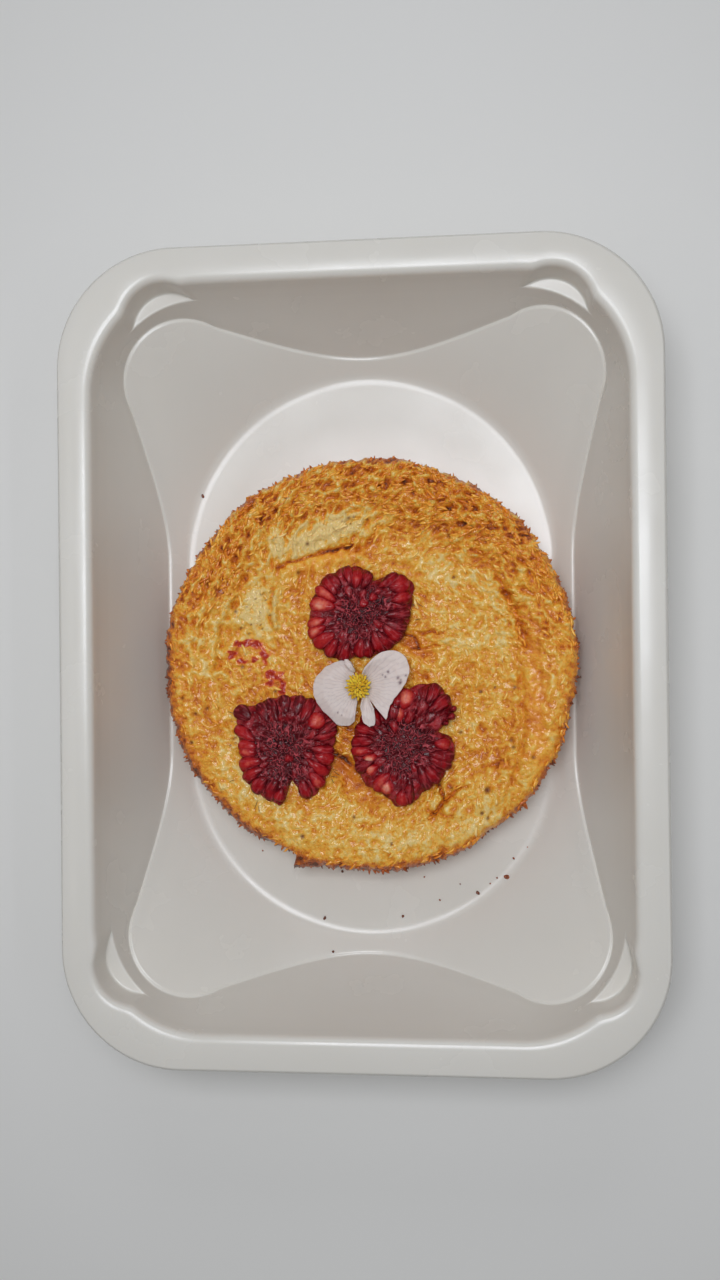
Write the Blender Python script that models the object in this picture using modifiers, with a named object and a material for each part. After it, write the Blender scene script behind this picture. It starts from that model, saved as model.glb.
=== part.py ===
"""A round baked souffle in its white meal tray, with three opened raspberries and a white flower.

The frame: the origin is at the bottom centre of the tray, +X along its short side, +Y along its long
side and +Z up. The food has no joints, so every node belongs to one rigid body.
Lengths are written in millimetres and turned into Blender's metres by MM.
"""

import math

import bmesh
import bpy

MM = 0.001

# ---- driving dimensions of the tray ---------------------------------------------------------------
TRAY_WIDTH = 137.0
TRAY_LENGTH = 187.0
TRAY_HEIGHT = 36.0
TRAY_WALL = 0.8
RIM_RADIUS = 27.0
RIM_EDGE = 1.3
LIP_DEPTH = 2.4
OPENING_HALF_WIDTH = 60.8
OPENING_HALF_LENGTH = 85.2
OPENING_RADIUS = 25.0
OPENING_Z = TRAY_HEIGHT - 1.5
FLOOR_RADIUS = 46.3
FLOOR_HALF_STRAIGHT = 23.7
RAMP_SLOPE = 0.78

# The wall leans in by LEAN * depth + CURVE * depth squared, a little more at the ends than at the
# sides, and least in the corners.
SIDE_LEAN, SIDE_CURVE = 0.140, 0.0062
END_LEAN, END_CURVE = 0.178, 0.0057
CORNER_SHARE = 0.42

# Each corner has a round stacking pocket with a flat shelf. The two at the back lie against the end
# wall and the two in front against the side walls, so that trays turned end for end don't wedge.
POCKET_RADIUS = 9.0
POCKET_SHELF_Z = 27.0
BACK_POCKET = (43.9, 76.5)
FRONT_POCKET = (51.8, -69.7)

# ---- driving dimensions of the food ---------------------------------------------------------------
GAP = 0.3
SOUFFLE_CENTRE = (1.0, -2.1)
SOUFFLE_RADIUS = 50.3
SOUFFLE_TOP = 13.0
SOUFFLE_CREST = 15.6
SOUFFLE_FLAT_RADIUS = 35.0
SOUFFLE_CREST_RADIUS = 43.0
TORN_START, TORN_END = 234.0, 248.5
TORN_DEPTH = 0.045
BERRY_GAP = 0.4
BERRY_HEIGHT = 4.9
FLOWER_CENTRE = (-1.3, -7.3)
FLOWER_Z = 17.2
TEPAL_THICKNESS = 0.5


# ---- small helpers --------------------------------------------------------------------------------
def clear_scene():
    for old in list(bpy.data.objects):
        bpy.data.objects.remove(old, do_unlink=True)


def principled(name, colour, roughness):
    """A material with a Principled BSDF of this colour, given as three sRGB values of 0 to 255."""
    made = bpy.data.materials.new(name)
    made.use_nodes = True
    shader = made.node_tree.nodes["Principled BSDF"]
    linear = [(value / 255.0) ** 2.2 for value in colour]
    shader.inputs["Base Color"].default_value = (*linear, 1.0)
    shader.inputs["Roughness"].default_value = roughness
    shader.inputs["Metallic"].default_value = 0.0
    made.diffuse_color = (*linear, 1.0)
    return made


def add_object(name, mesh, material, collection):
    made = bpy.data.objects.new(name, mesh)
    mesh.materials.clear()
    mesh.materials.append(material)
    mesh.shade_smooth()
    mesh.set_sharp_from_angle(angle=math.radians(40))
    collection.objects.link(made)
    return made


def sheet_mesh(name, rows, lid=False):
    """An open surface through rows of points in mm, with one flat face across the first row if lid."""
    work = bmesh.new()
    grid = [[work.verts.new([value * MM for value in point]) for point in row] for row in rows]
    for low, high in zip(grid, grid[1:]):
        for i in range(len(low) - 1):
            work.faces.new((low[i], high[i], high[i + 1], low[i + 1]))
    if lid:
        work.faces.new(grid[0])
    mesh = bpy.data.meshes.new(name)
    work.to_mesh(mesh)
    work.free()
    return mesh


def thicken(item, thickness_mm):
    """Solidify away from the side that the faces look to."""
    shell = item.modifiers.new("Thickness", "SOLIDIFY")
    shell.thickness = thickness_mm * MM
    shell.offset = -1.0
    shell.use_even_offset = True
    shell.use_rim = True


def turned_mesh(name, profile, steps, shape):
    """A profile of (radius, height) turned about Z with a Screw, each point then moved by shape(x, y, z)."""
    mesh = bpy.data.meshes.new(name + "_profile")
    points = [(radius * MM, 0.0, height * MM) for radius, height in profile]
    mesh.from_pydata(points, [(i, i + 1) for i in range(len(points) - 1)], [])
    guide = bpy.data.objects.new(name + "_profile", mesh)
    bpy.context.scene.collection.objects.link(guide)
    screw = guide.modifiers.new("Turn", "SCREW")
    screw.axis = "Z"
    screw.steps = steps
    screw.render_steps = steps
    screw.use_merge_vertices = True
    screw.merge_threshold = 0.00001
    graph = bpy.context.evaluated_depsgraph_get()
    made = bpy.data.meshes.new_from_object(guide.evaluated_get(graph))
    made.name = name
    bpy.data.objects.remove(guide, do_unlink=True)
    for vertex in made.vertices:
        moved = shape(*(value / MM for value in vertex.co))
        vertex.co = [value * MM for value in moved]
    made.update()
    return made


def farthest(angle, holds, limit=130.0):
    """How far along this direction from the tray's centre the test holds, by halving the interval."""
    low, high = 0.0, limit
    for _ in range(40):
        middle = (low + high) / 2
        if holds(middle * math.cos(angle), middle * math.sin(angle)):
            low = middle
        else:
            high = middle
    return low


# ---- the tray's surfaces --------------------------------------------------------------------------
def outside_floor(x, y):
    """How far a point lies outside the flat floor, an oval with straight sides."""
    return math.hypot(x, max(abs(y) - FLOOR_HALF_STRAIGHT, 0.0)) - FLOOR_RADIUS


def ramp_z(x, y):
    return TRAY_WALL + RAMP_SLOPE * max(outside_floor(x, y), 0.0)


def wall_z(x, y):
    """The height of the leaning wall over a point, from how far the point lies inside the opening."""
    over_x = abs(x) - (OPENING_HALF_WIDTH - OPENING_RADIUS)
    over_y = abs(y) - (OPENING_HALF_LENGTH - OPENING_RADIUS)
    if over_x > 0 and over_y > 0:
        inset = OPENING_RADIUS - math.hypot(over_x, over_y)
        end_share = over_y**2 / (over_x**2 + over_y**2)
    else:
        inset = OPENING_RADIUS - max(over_x, over_y)
        end_share = float(over_y > over_x)
    inset = max(inset, 0.0)
    steeper = 1 - CORNER_SHARE * 2 * math.sqrt(end_share * (1 - end_share))
    lean = (SIDE_LEAN + (END_LEAN - SIDE_LEAN) * end_share) * steeper
    curve = (SIDE_CURVE + (END_CURVE - SIDE_CURVE) * end_share) * steeper
    return OPENING_Z - (math.sqrt(lean**2 + 4 * curve * inset) - lean) / (2 * curve)


def inside_rim(x, y):
    over_x = abs(x) - (TRAY_WIDTH / 2 - RIM_RADIUS)
    over_y = abs(y) - (TRAY_LENGTH / 2 - RIM_RADIUS)
    corner = math.hypot(max(over_x, 0.0), max(over_y, 0.0))
    return corner + min(max(over_x, over_y), 0.0) < RIM_RADIUS


def wall_reach(angle, height):
    return farthest(angle, lambda x, y: wall_z(x, y) < height)


def pocket_reach(angle):
    """Where a ray leaves the stacking pocket's circle, or 0 where it misses it."""
    centre_x, centre_y = BACK_POCKET if angle > 0 else FRONT_POCKET
    along = centre_x * math.cos(angle) + centre_y * math.sin(angle)
    aside = centre_x * math.sin(angle) - centre_y * math.cos(angle)
    if abs(aside) > POCKET_RADIUS:
        return 0.0
    return along + math.sqrt(POCKET_RADIUS**2 - aside**2)


def ray_angles():
    """Directions from straight in front round the +X side to straight behind, closest at the pockets."""
    stretches = [(-90, -66, 6), (-66, -44, 15), (-44, -30, 4), (-30, 30, 9), (30, 42, 3), (42, 68, 17)]
    stretches.append((68, 90, 6))
    angles = [-90.0]
    for start, end, count in stretches:
        angles += [start + (end - start) * (i + 1) / count for i in range(count)]
    return [math.radians(angle) for angle in angles]


def tray_ray(angle):
    """The inner surface along one ray, from the floor's edge to the bottom of the rim's lip."""
    floor = farthest(angle, lambda x, y: outside_floor(x, y) < 0)
    crease = farthest(angle, lambda x, y: wall_z(x, y) < ramp_z(x, y))
    crease_z = ramp_z(crease * math.cos(angle), crease * math.sin(angle))
    under_shelf = POCKET_SHELF_Z - 0.6
    rim = farthest(angle, inside_rim)
    opening = max(wall_reach(angle, OPENING_Z - 0.001), pocket_reach(angle))
    steps = [(floor, TRAY_WALL), ((floor + crease) / 2, (TRAY_WALL + crease_z) / 2), (crease, crease_z)]
    for height in ((crease_z + under_shelf) / 2, under_shelf):
        steps.append((wall_reach(angle, height), height))
    for height in (POCKET_SHELF_Z, 31.0):
        steps.append((max(wall_reach(angle, height), pocket_reach(angle)), height))
    steps += [(opening, OPENING_Z), (opening + 0.5, TRAY_HEIGHT - 0.4), (opening + 1.8, TRAY_HEIGHT)]
    steps += [(rim - RIM_EDGE, TRAY_HEIGHT), (rim - 0.3, TRAY_HEIGHT - 0.5), (rim, TRAY_HEIGHT - RIM_EDGE)]
    steps.append((rim, TRAY_HEIGHT - LIP_DEPTH))
    return [(reach * math.cos(angle), reach * math.sin(angle), height) for reach, height in steps]


def make_tray(collection):
    """Half of the inner surface, mirrored across X = 0 and thickened outwards."""
    rays = [tray_ray(angle) for angle in ray_angles()]
    rows = [list(row) for row in zip(*rays)]
    for row in rows:
        for end in (0, -1):
            row[end] = (0.0, *row[end][1:])
    mesh = sheet_mesh("tray", rows, lid=True)
    tray = add_object("tray", mesh, principled("white polypropylene", (200, 200, 197), 0.35), collection)
    mirror = tray.modifiers.new("Other half", "MIRROR")
    mirror.use_clip = True
    mirror.merge_threshold = 0.00001
    thicken(tray, TRAY_WALL)


# ---- the souffle ----------------------------------------------------------------------------------
def souffle_outline(angle):
    """The edge's distance from the centre, as a share of its radius: nearly round, with one torn step."""
    ragged = 0.004 * math.sin(9 * angle + 0.6) + 0.003 * math.sin(17 * angle + 2.0)
    uneven = 0.009 * math.cos(angle - math.radians(205)) + 0.003 * math.sin(2 * angle)
    torn = (math.degrees(angle) % 360 - TORN_START) / (TORN_END - TORN_START)
    return 1.0 + ragged + uneven - (TORN_DEPTH * torn if 0 < torn < 1 else 0.0)


def souffle_top(x, y):
    """The height of the souffle's top over a point: flat in the middle, then a straight rise to the rim."""
    radius = math.hypot(x - SOUFFLE_CENTRE[0], y - SOUFFLE_CENTRE[1])
    share = (radius - SOUFFLE_FLAT_RADIUS) / (SOUFFLE_CREST_RADIUS - SOUFFLE_FLAT_RADIUS)
    return SOUFFLE_TOP + (SOUFFLE_CREST - SOUFFLE_TOP) * min(max(share, 0.0), 1.0)


def make_souffle(collection):
    """A turned cake with a raised rim round a flat middle, its sides drawn in towards the floor."""
    floor = TRAY_WALL + GAP
    profile = [
        (0.0, SOUFFLE_TOP),
        (20.0, SOUFFLE_TOP),
        (SOUFFLE_FLAT_RADIUS, SOUFFLE_TOP),
        (SOUFFLE_CREST_RADIUS, SOUFFLE_CREST),
        (46.0, SOUFFLE_CREST - 0.2),
        (48.7, SOUFFLE_CREST - 1.3),
        (SOUFFLE_RADIUS, SOUFFLE_CREST - 3.0),
        (SOUFFLE_RADIUS - 0.8, SOUFFLE_CREST - 5.2),
        (47.4, floor + 4.6),
        (45.6, floor + 2.2),
        (43.6, floor + 0.5),
        (42.6, floor),
        (0.0, floor),
    ]

    def shape(x, y, z):
        radius = math.hypot(x, y)
        if radius < 1e-6:
            return SOUFFLE_CENTRE[0], SOUFFLE_CENTRE[1], z
        angle = math.atan2(y, x)
        share = min(max((radius - SOUFFLE_CREST_RADIUS) / (SOUFFLE_RADIUS - SOUFFLE_CREST_RADIUS), 0.0), 1.0)
        reach = radius * (1 + (souffle_outline(angle) - 1) * share)
        return SOUFFLE_CENTRE[0] + reach * math.cos(angle), SOUFFLE_CENTRE[1] + reach * math.sin(angle), z

    mesh = turned_mesh("souffle", profile, 96, shape)
    add_object("souffle", mesh, principled("baked egg crust", (205, 160, 80), 0.45), collection)


# ---- the berries ----------------------------------------------------------------------------------
# Each berry is torn open and laid flat: its centre, the flesh's reach every 30 degrees from +X, and
# the tear as (angle, depth, half width in degrees).
BERRIES = {
    "raspberry_back": {
        "centre": (-1.0, 10.4),
        "reach": (12.1, 14.5, 12.0, 11.2, 11.9, 12.2, 12.4, 13.8, 13.0, 10.8, 11.3, 11.7),
        "tear": (66, 3.4, 13),
    },
    "raspberry_left": {
        "centre": (-19.2, -22.6),
        "reach": (11.5, 13.5, 13.8, 13.1, 13.2, 14.2, 11.3, 12.4, 12.8, 12.6, 13.0, 11.7),
        "tear": (279, 5.2, 9),
    },
    "raspberry_right": {
        "centre": (9.1, -21.3),
        "reach": (12.3, 14.6, 16.5, 13.2, 10.9, 12.3, 12.6, 13.0, 13.1, 14.6, 12.3, 12.4),
        "tear": (19, 4.8, 9),
    },
}

# The cross-section from the sunken middle over the ring and down to the flat underside, as shares of
# the flesh's reach and of its height.
BERRY_PROFILE = [
    (0.0, 0.53),
    (0.42, 0.6),
    (0.68, 0.9),
    (0.84, 1.0),
    (0.95, 0.82),
    (1.0, 0.45),
    (0.95, 0.14),
    (0.86, 0.0),
    (0.0, 0.0),
]
BERRY_UNIT = 10.0


def berry_outline(berry, angle):
    """A smooth curve through the reaches, pinched at the tear and scalloped by the drupelets."""
    turn = math.degrees(angle) % 360 / 30
    first = int(turn)
    share = turn - first
    ease = share * share * (3 - 2 * share)
    reach = berry["reach"]
    smooth = reach[first % 12] * (1 - ease) + reach[(first + 1) % 12] * ease
    tear_angle, tear_depth, tear_width = berry["tear"]
    off_tear = (math.degrees(angle) - tear_angle + 180) % 360 - 180
    pinch = tear_depth * math.exp(-((off_tear / tear_width) ** 2))
    return smooth - pinch + 0.3 * math.cos(18 * angle) - 0.3


def make_berry(name, berry, collection):
    """A low ring of flesh round a sunken middle: a turned profile stretched to the torn outline."""
    centre_x, centre_y = berry["centre"]
    profile = [(BERRY_UNIT * radius, BERRY_HEIGHT * height) for radius, height in BERRY_PROFILE]

    def shape(x, y, z):
        angle = math.atan2(y, x)
        reach = math.hypot(x, y) / BERRY_UNIT * berry_outline(berry, angle)
        moved_x = centre_x + reach * math.cos(angle)
        moved_y = centre_y + reach * math.sin(angle)
        return moved_x, moved_y, souffle_top(moved_x, moved_y) + BERRY_GAP + z

    mesh = turned_mesh(name, profile, 36, shape)
    add_object(name, mesh, principled(name + " flesh", (120, 20, 32), 0.3), collection)


# ---- the flower -----------------------------------------------------------------------------------
# Each tepal is a fan from a point beside the stamens: start and end angle, the reach at even steps
# between them, and its height at the root, along its middle and at its tip.
TEPALS = {
    "flower_tepal_left": {
        "root": FLOWER_CENTRE,
        "angles": (112, 262),
        "reach": (6.6, 8.8, 10.6, 11.6, 11.4, 9.0, 8.6, 9.4, 8.2),
        "inner": 2.3,
        "heights": (16.3, 16.9, 15.5),
    },
    "flower_tepal_right": {
        "root": FLOWER_CENTRE,
        "angles": (-50, 69),
        "reach": (9.0, 9.0, 8.6, 9.2, 11.4, 13.2, 13.4, 11.6, 5.2),
        "inner": 2.3,
        "heights": (17.2, 18.9, 19.2),
    },
    "flower_tepal_upper": {
        "root": (-1.9, -4.3),
        "angles": (112, 140),
        "reach": (3.3, 4.1, 3.3),
        "inner": 1.0,
        "heights": (18.0, 18.6, 18.2),
    },
    "flower_tepal_lower": {
        "root": (0.2, -8.6),
        "angles": (-100, -64),
        "reach": (4.8, 7.2, 8.4, 8.0, 6.0),
        "inner": 1.8,
        "heights": (18.6, 19.8, 19.9),
    },
}


def blend(values, share):
    """The value at this share of the way along a list of evenly spaced values."""
    place = min(share * (len(values) - 1), len(values) - 1.001)
    first = int(place)
    return values[first] * (1 - (place - first)) + values[first + 1] * (place - first)


def make_tepal(name, tepal, collection):
    """A thin curved sheet, thickened."""
    start, end = tepal["angles"]
    around = max(4, round((end - start) / 13))
    rings = 4
    root_x, root_y = tepal["root"]
    rows = []
    for ring in range(rings + 1):
        share = ring / rings
        row = []
        for step in range(around + 1):
            angle = math.radians(start + (end - start) * step / around)
            reach = tepal["inner"] + (blend(tepal["reach"], step / around) - tepal["inner"]) * share
            height = blend(tepal["heights"], share)
            row.append((root_x + reach * math.cos(angle), root_y + reach * math.sin(angle), height))
        rows.append(row)
    mesh = sheet_mesh(name, rows)
    tepal_object = add_object(name, mesh, principled(name + " petal", (214, 208, 208), 0.5), collection)
    thicken(tepal_object, TEPAL_THICKNESS)


def make_stamens(collection):
    """The cushion of stamens, as one low dome."""
    profile = [(0.0, 3.3), (1.5, 3.0), (2.5, 2.1), (2.9, 1.0), (2.4, 0.0), (0.0, 0.0)]

    def shape(x, y, z):
        return FLOWER_CENTRE[0] + x * 0.94, FLOWER_CENTRE[1] + y * 1.06, z + FLOWER_Z + 0.7

    mesh = turned_mesh("flower_stamens", profile, 20, shape)
    add_object("flower_stamens", mesh, principled("yellow stamens", (205, 175, 45), 0.6), collection)


def main():
    clear_scene()
    collection = bpy.data.collections.new("souffle_in_tray")
    bpy.context.scene.collection.children.link(collection)
    make_tray(collection)
    make_souffle(collection)
    for name, berry in BERRIES.items():
        make_berry(name, berry, collection)
    for name, tepal in TEPALS.items():
        make_tepal(name, tepal, collection)
    make_stamens(collection)


main()
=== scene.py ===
# %% [markdown]
# # A souffle in its meal tray
# A round souffle has been baked, turned out into a white moulded tray and dressed with three opened
# raspberries and a small white flower. The measured model already gives the place and size of every
# part. Here each part gets its real surface: torn crust, wet fruit, thin petals, smooth plastic.
# Everything is worked out in millimetres, because that is how a cook or a mould maker would say it.

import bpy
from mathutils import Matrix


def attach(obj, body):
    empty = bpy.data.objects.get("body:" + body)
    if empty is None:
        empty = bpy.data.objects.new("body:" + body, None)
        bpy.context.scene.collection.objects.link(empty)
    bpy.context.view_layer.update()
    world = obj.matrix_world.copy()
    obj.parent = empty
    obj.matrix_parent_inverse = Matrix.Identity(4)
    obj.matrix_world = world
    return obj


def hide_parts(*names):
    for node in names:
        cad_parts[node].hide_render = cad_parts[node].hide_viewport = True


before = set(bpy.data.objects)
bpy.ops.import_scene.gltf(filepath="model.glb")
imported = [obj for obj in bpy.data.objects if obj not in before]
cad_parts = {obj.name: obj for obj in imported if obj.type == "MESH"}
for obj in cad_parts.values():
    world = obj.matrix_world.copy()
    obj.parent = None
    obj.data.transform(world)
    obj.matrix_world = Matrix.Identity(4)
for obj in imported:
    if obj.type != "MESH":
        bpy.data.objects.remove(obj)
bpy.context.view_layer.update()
print("nodes:", sorted(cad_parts))

# %% Tools and units
import math

import bpy
import numpy as np

MM = 0.001
scene = bpy.context.scene


def rgb(code):
    """An sRGB hex colour as the linear values that a shader works with."""
    parts = [int(code[i : i + 2], 16) / 255 for i in (0, 2, 4)]
    return (*[p / 12.92 if p <= 0.04045 else ((p + 0.055) / 1.055) ** 2.4 for p in parts], 1.0)


def add(tree, kind, settings=(), inputs=()):
    """A new node with its settings; each input gets a value, or a link if it is given a socket."""
    node = tree.nodes.new(kind)
    for name, value in dict(settings).items():
        setattr(node, name, value)
    for key, value in dict(inputs).items():
        if isinstance(value, bpy.types.NodeSocket):
            tree.links.new(value, node.inputs[key])
        else:
            node.inputs[key].default_value = value
    return node


# %% [markdown]
# ## Camera
# The tray is seen from almost straight above, a little from its right, by a phone lens held about
# 30 cm up. A camera that close makes the near rim look wide and the walls lean outwards, so its
# distance matters more than its focal length.

# %% Camera
lens = bpy.data.cameras.new("camera")
lens.lens = 32.954
lens.clip_start = 0.005
camera = bpy.data.objects.new("camera", lens)
camera.location = (0.026468, 0.001712, 0.295695)
camera.rotation_euler = (0.0062, 0.0981, -0.0106)
scene.collection.objects.link(camera)
scene.camera = camera
scene.view_settings.view_transform = "Standard"
print("camera height:", round(camera.location.z / MM), "mm, lens:", lens.lens, "mm")

# %% [markdown]
# ## Floor and light
# A plain pale floor and soft light. A wide panel overhead makes level surfaces bright and walls
# dim, a window beyond the far rim lifts the near slope, and the pale room fills the rest. Two thin
# strips, one at each side, keep sharp glints on wet fruit and buttery crust.

# %% Floor and light
floor_paint = bpy.data.materials.new("matt pale floor paint")
floor_paint.use_nodes = True
tree = floor_paint.node_tree
shader = tree.nodes["Principled BSDF"]
place = add(tree, "ShaderNodeTexCoord").outputs["Object"]
mottle = add(tree, "ShaderNodeTexNoise", inputs={"Vector": place, "Scale": 9.0, "Detail": 2.0})
tint = add(
    tree,
    "ShaderNodeMix",
    {"data_type": "RGBA"},
    {0: mottle.outputs["Fac"], 6: rgb("E9E7E2"), 7: rgb("ECEAE6")},
)
tree.links.new(tint.outputs[2], shader.inputs["Base Color"])
shader.inputs["Roughness"].default_value = 0.75
# The floor is four metres wide and lies a little below the tray, so that the two never touch.
GROUND_HALF, GROUND_Z = 2, -0.0004
ground = bpy.data.meshes.new("floor")
sides = ((-1, -1), (1, -1), (1, 1), (-1, 1))
ground.from_pydata([(GROUND_HALF * x, GROUND_HALF * y, GROUND_Z) for x, y in sides], [], [(0, 1, 2, 3)])
ground.materials.append(floor_paint)
floor = bpy.data.objects.new("floor", ground)
scene.collection.objects.link(floor)

world = bpy.data.worlds.new("pale room")
world.use_nodes = True
world.node_tree.nodes["Background"].inputs["Color"].default_value = rgb("EEF0F2")
world.node_tree.nodes["Background"].inputs["Strength"].default_value = 0.185
scene.world = world

LAMPS = (
    # name, place in metres, width and length in metres, watts, colour
    ("ceiling panel", (0.0, 0.06, 0.46), (0.20, 0.16), 1.07, "F4F8FF"),
    ("window", (0.0, 0.52, 0.46), (0.40, 0.16), 0.37, "F4F8FF"),
    ("glint left", (-0.22, 0.04, 0.46), (0.012, 0.4), 0.10, "FFFFFF"),
    ("glint right", (0.24, 0.02, 0.46), (0.012, 0.4), 0.10, "F0F6FF"),
)
# Every lamp is turned towards the tray.
for name, spot, size, power, colour in LAMPS:
    light = bpy.data.lights.new(name, "AREA")
    light.shape = "RECTANGLE"
    light.size, light.size_y = size
    light.energy = power
    light.color = rgb(colour)[:3]
    lamp = bpy.data.objects.new(name, light)
    lamp.location = spot
    lamp.rotation_euler = (math.atan2(-spot[1], spot[2]), math.atan2(spot[0], spot[2]), 0.0)
    scene.collection.objects.link(lamp)
print("lamps:", [name for name, *_ in LAMPS])

# %% [markdown]
# ## Natural roughness
# Crust and fruit are never smooth, so the same few kinds of irregularity come back everywhere: soft
# swells (smooth noise), cells such as crumbs and pits (distances to scattered points), and fibres
# (noise smeared along a direction). Each is worked out here for many points at once, from whole
# numbers that are scrambled the same way every time, so the model never changes between runs.

# %% Noise, cells, fibres and paths
def scramble(ix, iy, seed):
    """A repeatable number from 0 to 1 for each pair of whole numbers."""
    mixed = (ix.astype(np.int64) * 73856093) ^ (iy.astype(np.int64) * 19349663) ^ (seed * 83492791)
    mixed = ((mixed ^ (mixed >> 13)) * 1274126177) & 0xFFFFFFFF
    return ((mixed ^ (mixed >> 16)) & 0xFFFF) / 65536


def noise(x, y, size, seed):
    """Smooth noise from about -1 to 1 whose swells are this many mm across."""
    x, y = x / size, y / size
    ix, iy = np.floor(x), np.floor(y)
    fx, fy = x - ix, y - iy
    ease_x, ease_y = fx**3 * (fx * (fx * 6 - 15) + 10), fy**3 * (fy * (fy * 6 - 15) + 10)
    total = 0.0
    for dx in (0, 1):
        for dy in (0, 1):
            turn = 2 * np.pi * scramble(ix + dx, iy + dy, seed)
            slope = np.cos(turn) * (fx - dx) + np.sin(turn) * (fy - dy)
            total = total + slope * (ease_x if dx else 1 - ease_x) * (ease_y if dy else 1 - ease_y)
    return 1.5 * total


def layered(x, y, size, seed, layers=3):
    """Noise with finer and weaker noise on top of it."""
    return sum(noise(x, y, size / 2**k, seed + k) / 2**k for k in range(layers))


def cells(x, y, size, seed):
    """Distance in mm to the nearest of scattered points, and that point's own number from 0 to 1."""
    x, y = x / size, y / size
    ix, iy = np.floor(x), np.floor(y)
    near, own = np.full(x.shape, 9.0), np.zeros(x.shape)
    for dx in (-1, 0, 1):
        for dy in (-1, 0, 1):
            px = ix + dx + scramble(ix + dx, iy + dy, seed)
            py = iy + dy + scramble(ix + dx, iy + dy, seed + 57)
            away = np.hypot(px - x, py - y)
            closer = away < near
            own = np.where(closer, scramble(ix + dx, iy + dy, seed + 113), own)
            near = np.where(closer, away, near)
    return near * size, own


def fibres(x, y, direction, length, width, seed):
    """Noise smeared along a direction given at each point, so that it draws threads."""
    steps = 4
    total = 0.0
    for k in range(-steps, steps + 1):
        reach = length / 2 * k / steps
        total = total + noise(x + reach * np.cos(direction), y + reach * np.sin(direction), width, seed)
    return total / (steps + 1.5)


def from_centre(centre, reach, turn):
    """Points that lie this far from a centre in these directions."""
    return centre[0] + reach * np.cos(turn), centre[1] + reach * np.sin(turn)


def near_path(x, y, points):
    """Distance in mm from a line through these points."""
    best = np.full(np.shape(x), 1e9)
    for (ax, ay), (bx, by) in zip(points, points[1:]):
        dx, dy = bx - ax, by - ay
        share = np.clip(((x - ax) * dx + (y - ay) * dy) / (dx * dx + dy * dy), 0, 1)
        best = np.minimum(best, np.hypot(x - ax - share * dx, y - ay - share * dy))
    return best


def bump_at(x, y, spot):
    """A soft round or oval spot given as (x, y, half length, half width, turn in degrees)."""
    sx, sy, long, wide, turn = spot
    c, s = math.cos(math.radians(turn)), math.sin(math.radians(turn))
    along, across = (x - sx) * c + (y - sy) * s, -(x - sx) * s + (y - sy) * c
    return np.exp(-((along / long) ** 2) - (across / wide) ** 2)


def ramp(value, low, high):
    """0 below low, 1 above high, and a smooth rise between."""
    share = np.clip((value - low) / (high - low), 0, 1)
    return share * share * (3 - 2 * share)


sample = np.linspace(-50, 50, 4001)
swells = noise(sample, sample * 0.3, 3.0, 1)
print("noise spans", swells.min().round(2), "to", swells.max().round(2))

# %% [markdown]
# ## Turning points into objects
# A finished piece is a plain mesh whose points already stand where they belong, with the object
# itself left at the origin. Numbers that a material needs, such as how brown the crust is, are kept
# on the points as named attributes.

# %% Mesh helpers
def keep_numbers(mesh, marks):
    """Stores one number for each point under each name, for a material to read."""
    for label, values in dict(marks).items():
        numbers = np.asarray(values, np.float32)
        mesh.attributes.new(label, "FLOAT", "POINT").data.foreach_set("value", numbers)


def triangle_count(mesh):
    """How many triangles a mesh has once its faces are cut up."""
    return sum(len(face.vertices) - 2 for face in mesh.polygons)


def plain_mesh(thing):
    """A new mesh with the shape that an object has after its modifiers."""
    graph = bpy.context.evaluated_depsgraph_get()
    return bpy.data.meshes.new_from_object(thing.evaluated_get(graph))


def make_piece(name, points, faces, material, marks=()):
    """A smooth mesh object from points in mm; the marks are named numbers for each point."""
    mesh = bpy.data.meshes.new(name)
    mesh.from_pydata((np.asarray(points, float) * MM).tolist(), [], faces)
    keep_numbers(mesh, marks)
    mesh.materials.append(material)
    mesh.shade_smooth()
    mesh.validate()
    piece = bpy.data.objects.new(name, mesh)
    scene.collection.objects.link(piece)
    print(f"{name}: {len(mesh.vertices)} points, {triangle_count(mesh)} triangles")
    return piece


def thicken(piece, thickness):
    """Gives a sheet a wall of this many mm behind its faces, and keeps the result as a plain mesh."""
    wall = piece.modifiers.new("thickness", "SOLIDIFY")
    wall.thickness = thickness * MM
    wall.offset = -1.0
    piece.data, sheet = plain_mesh(piece), piece.data
    piece.modifiers.clear()
    bpy.data.meshes.remove(sheet)


def disc_grid(count):
    """A square grid bent into a unit disc, so that its cells stay nearly equal right to the edge."""
    line = np.linspace(-1, 1, count + 1)
    a, b = np.meshgrid(line, line, indexing="ij")
    wide = np.abs(a) > np.abs(b)
    safe_a, safe_b = np.where(a == 0, 1, a), np.where(b == 0, 1, b)
    radius = np.where(wide, a, b)
    turn = np.where(wide, np.pi / 4 * b / safe_a, np.pi / 2 - np.pi / 4 * a / safe_b)
    return (radius * np.cos(turn)).ravel(), (radius * np.sin(turn)).ravel()


def grid_quads(number):
    """Four-sided faces between neighbouring points, from a grid of the points' numbers."""
    return np.stack([number[:-1, :-1], number[1:, :-1], number[1:, 1:], number[:-1, 1:]], -1).reshape(-1, 4)


def slab_faces(count, skirts):
    """Faces of a disc grid whose edge goes on down through some skirt rings to a middle point below."""
    number = np.arange((count + 1) ** 2).reshape(count + 1, count + 1)
    edge = np.concatenate([number[:-1, 0], number[-1, :-1], number[:0:-1, -1], number[0, :0:-1]])
    faces = grid_quads(number).tolist()
    upper = edge
    for k in range(skirts):
        lower = number.size + k * len(edge) + np.arange(len(edge))
        faces += np.stack([upper, lower, np.roll(lower, -1), np.roll(upper, -1)], -1).tolist()
        upper = lower
    below = number.size + skirts * len(edge)
    faces += np.stack([upper, np.full(len(edge), below), np.roll(upper, -1)], -1).tolist()
    return faces, edge


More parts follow.
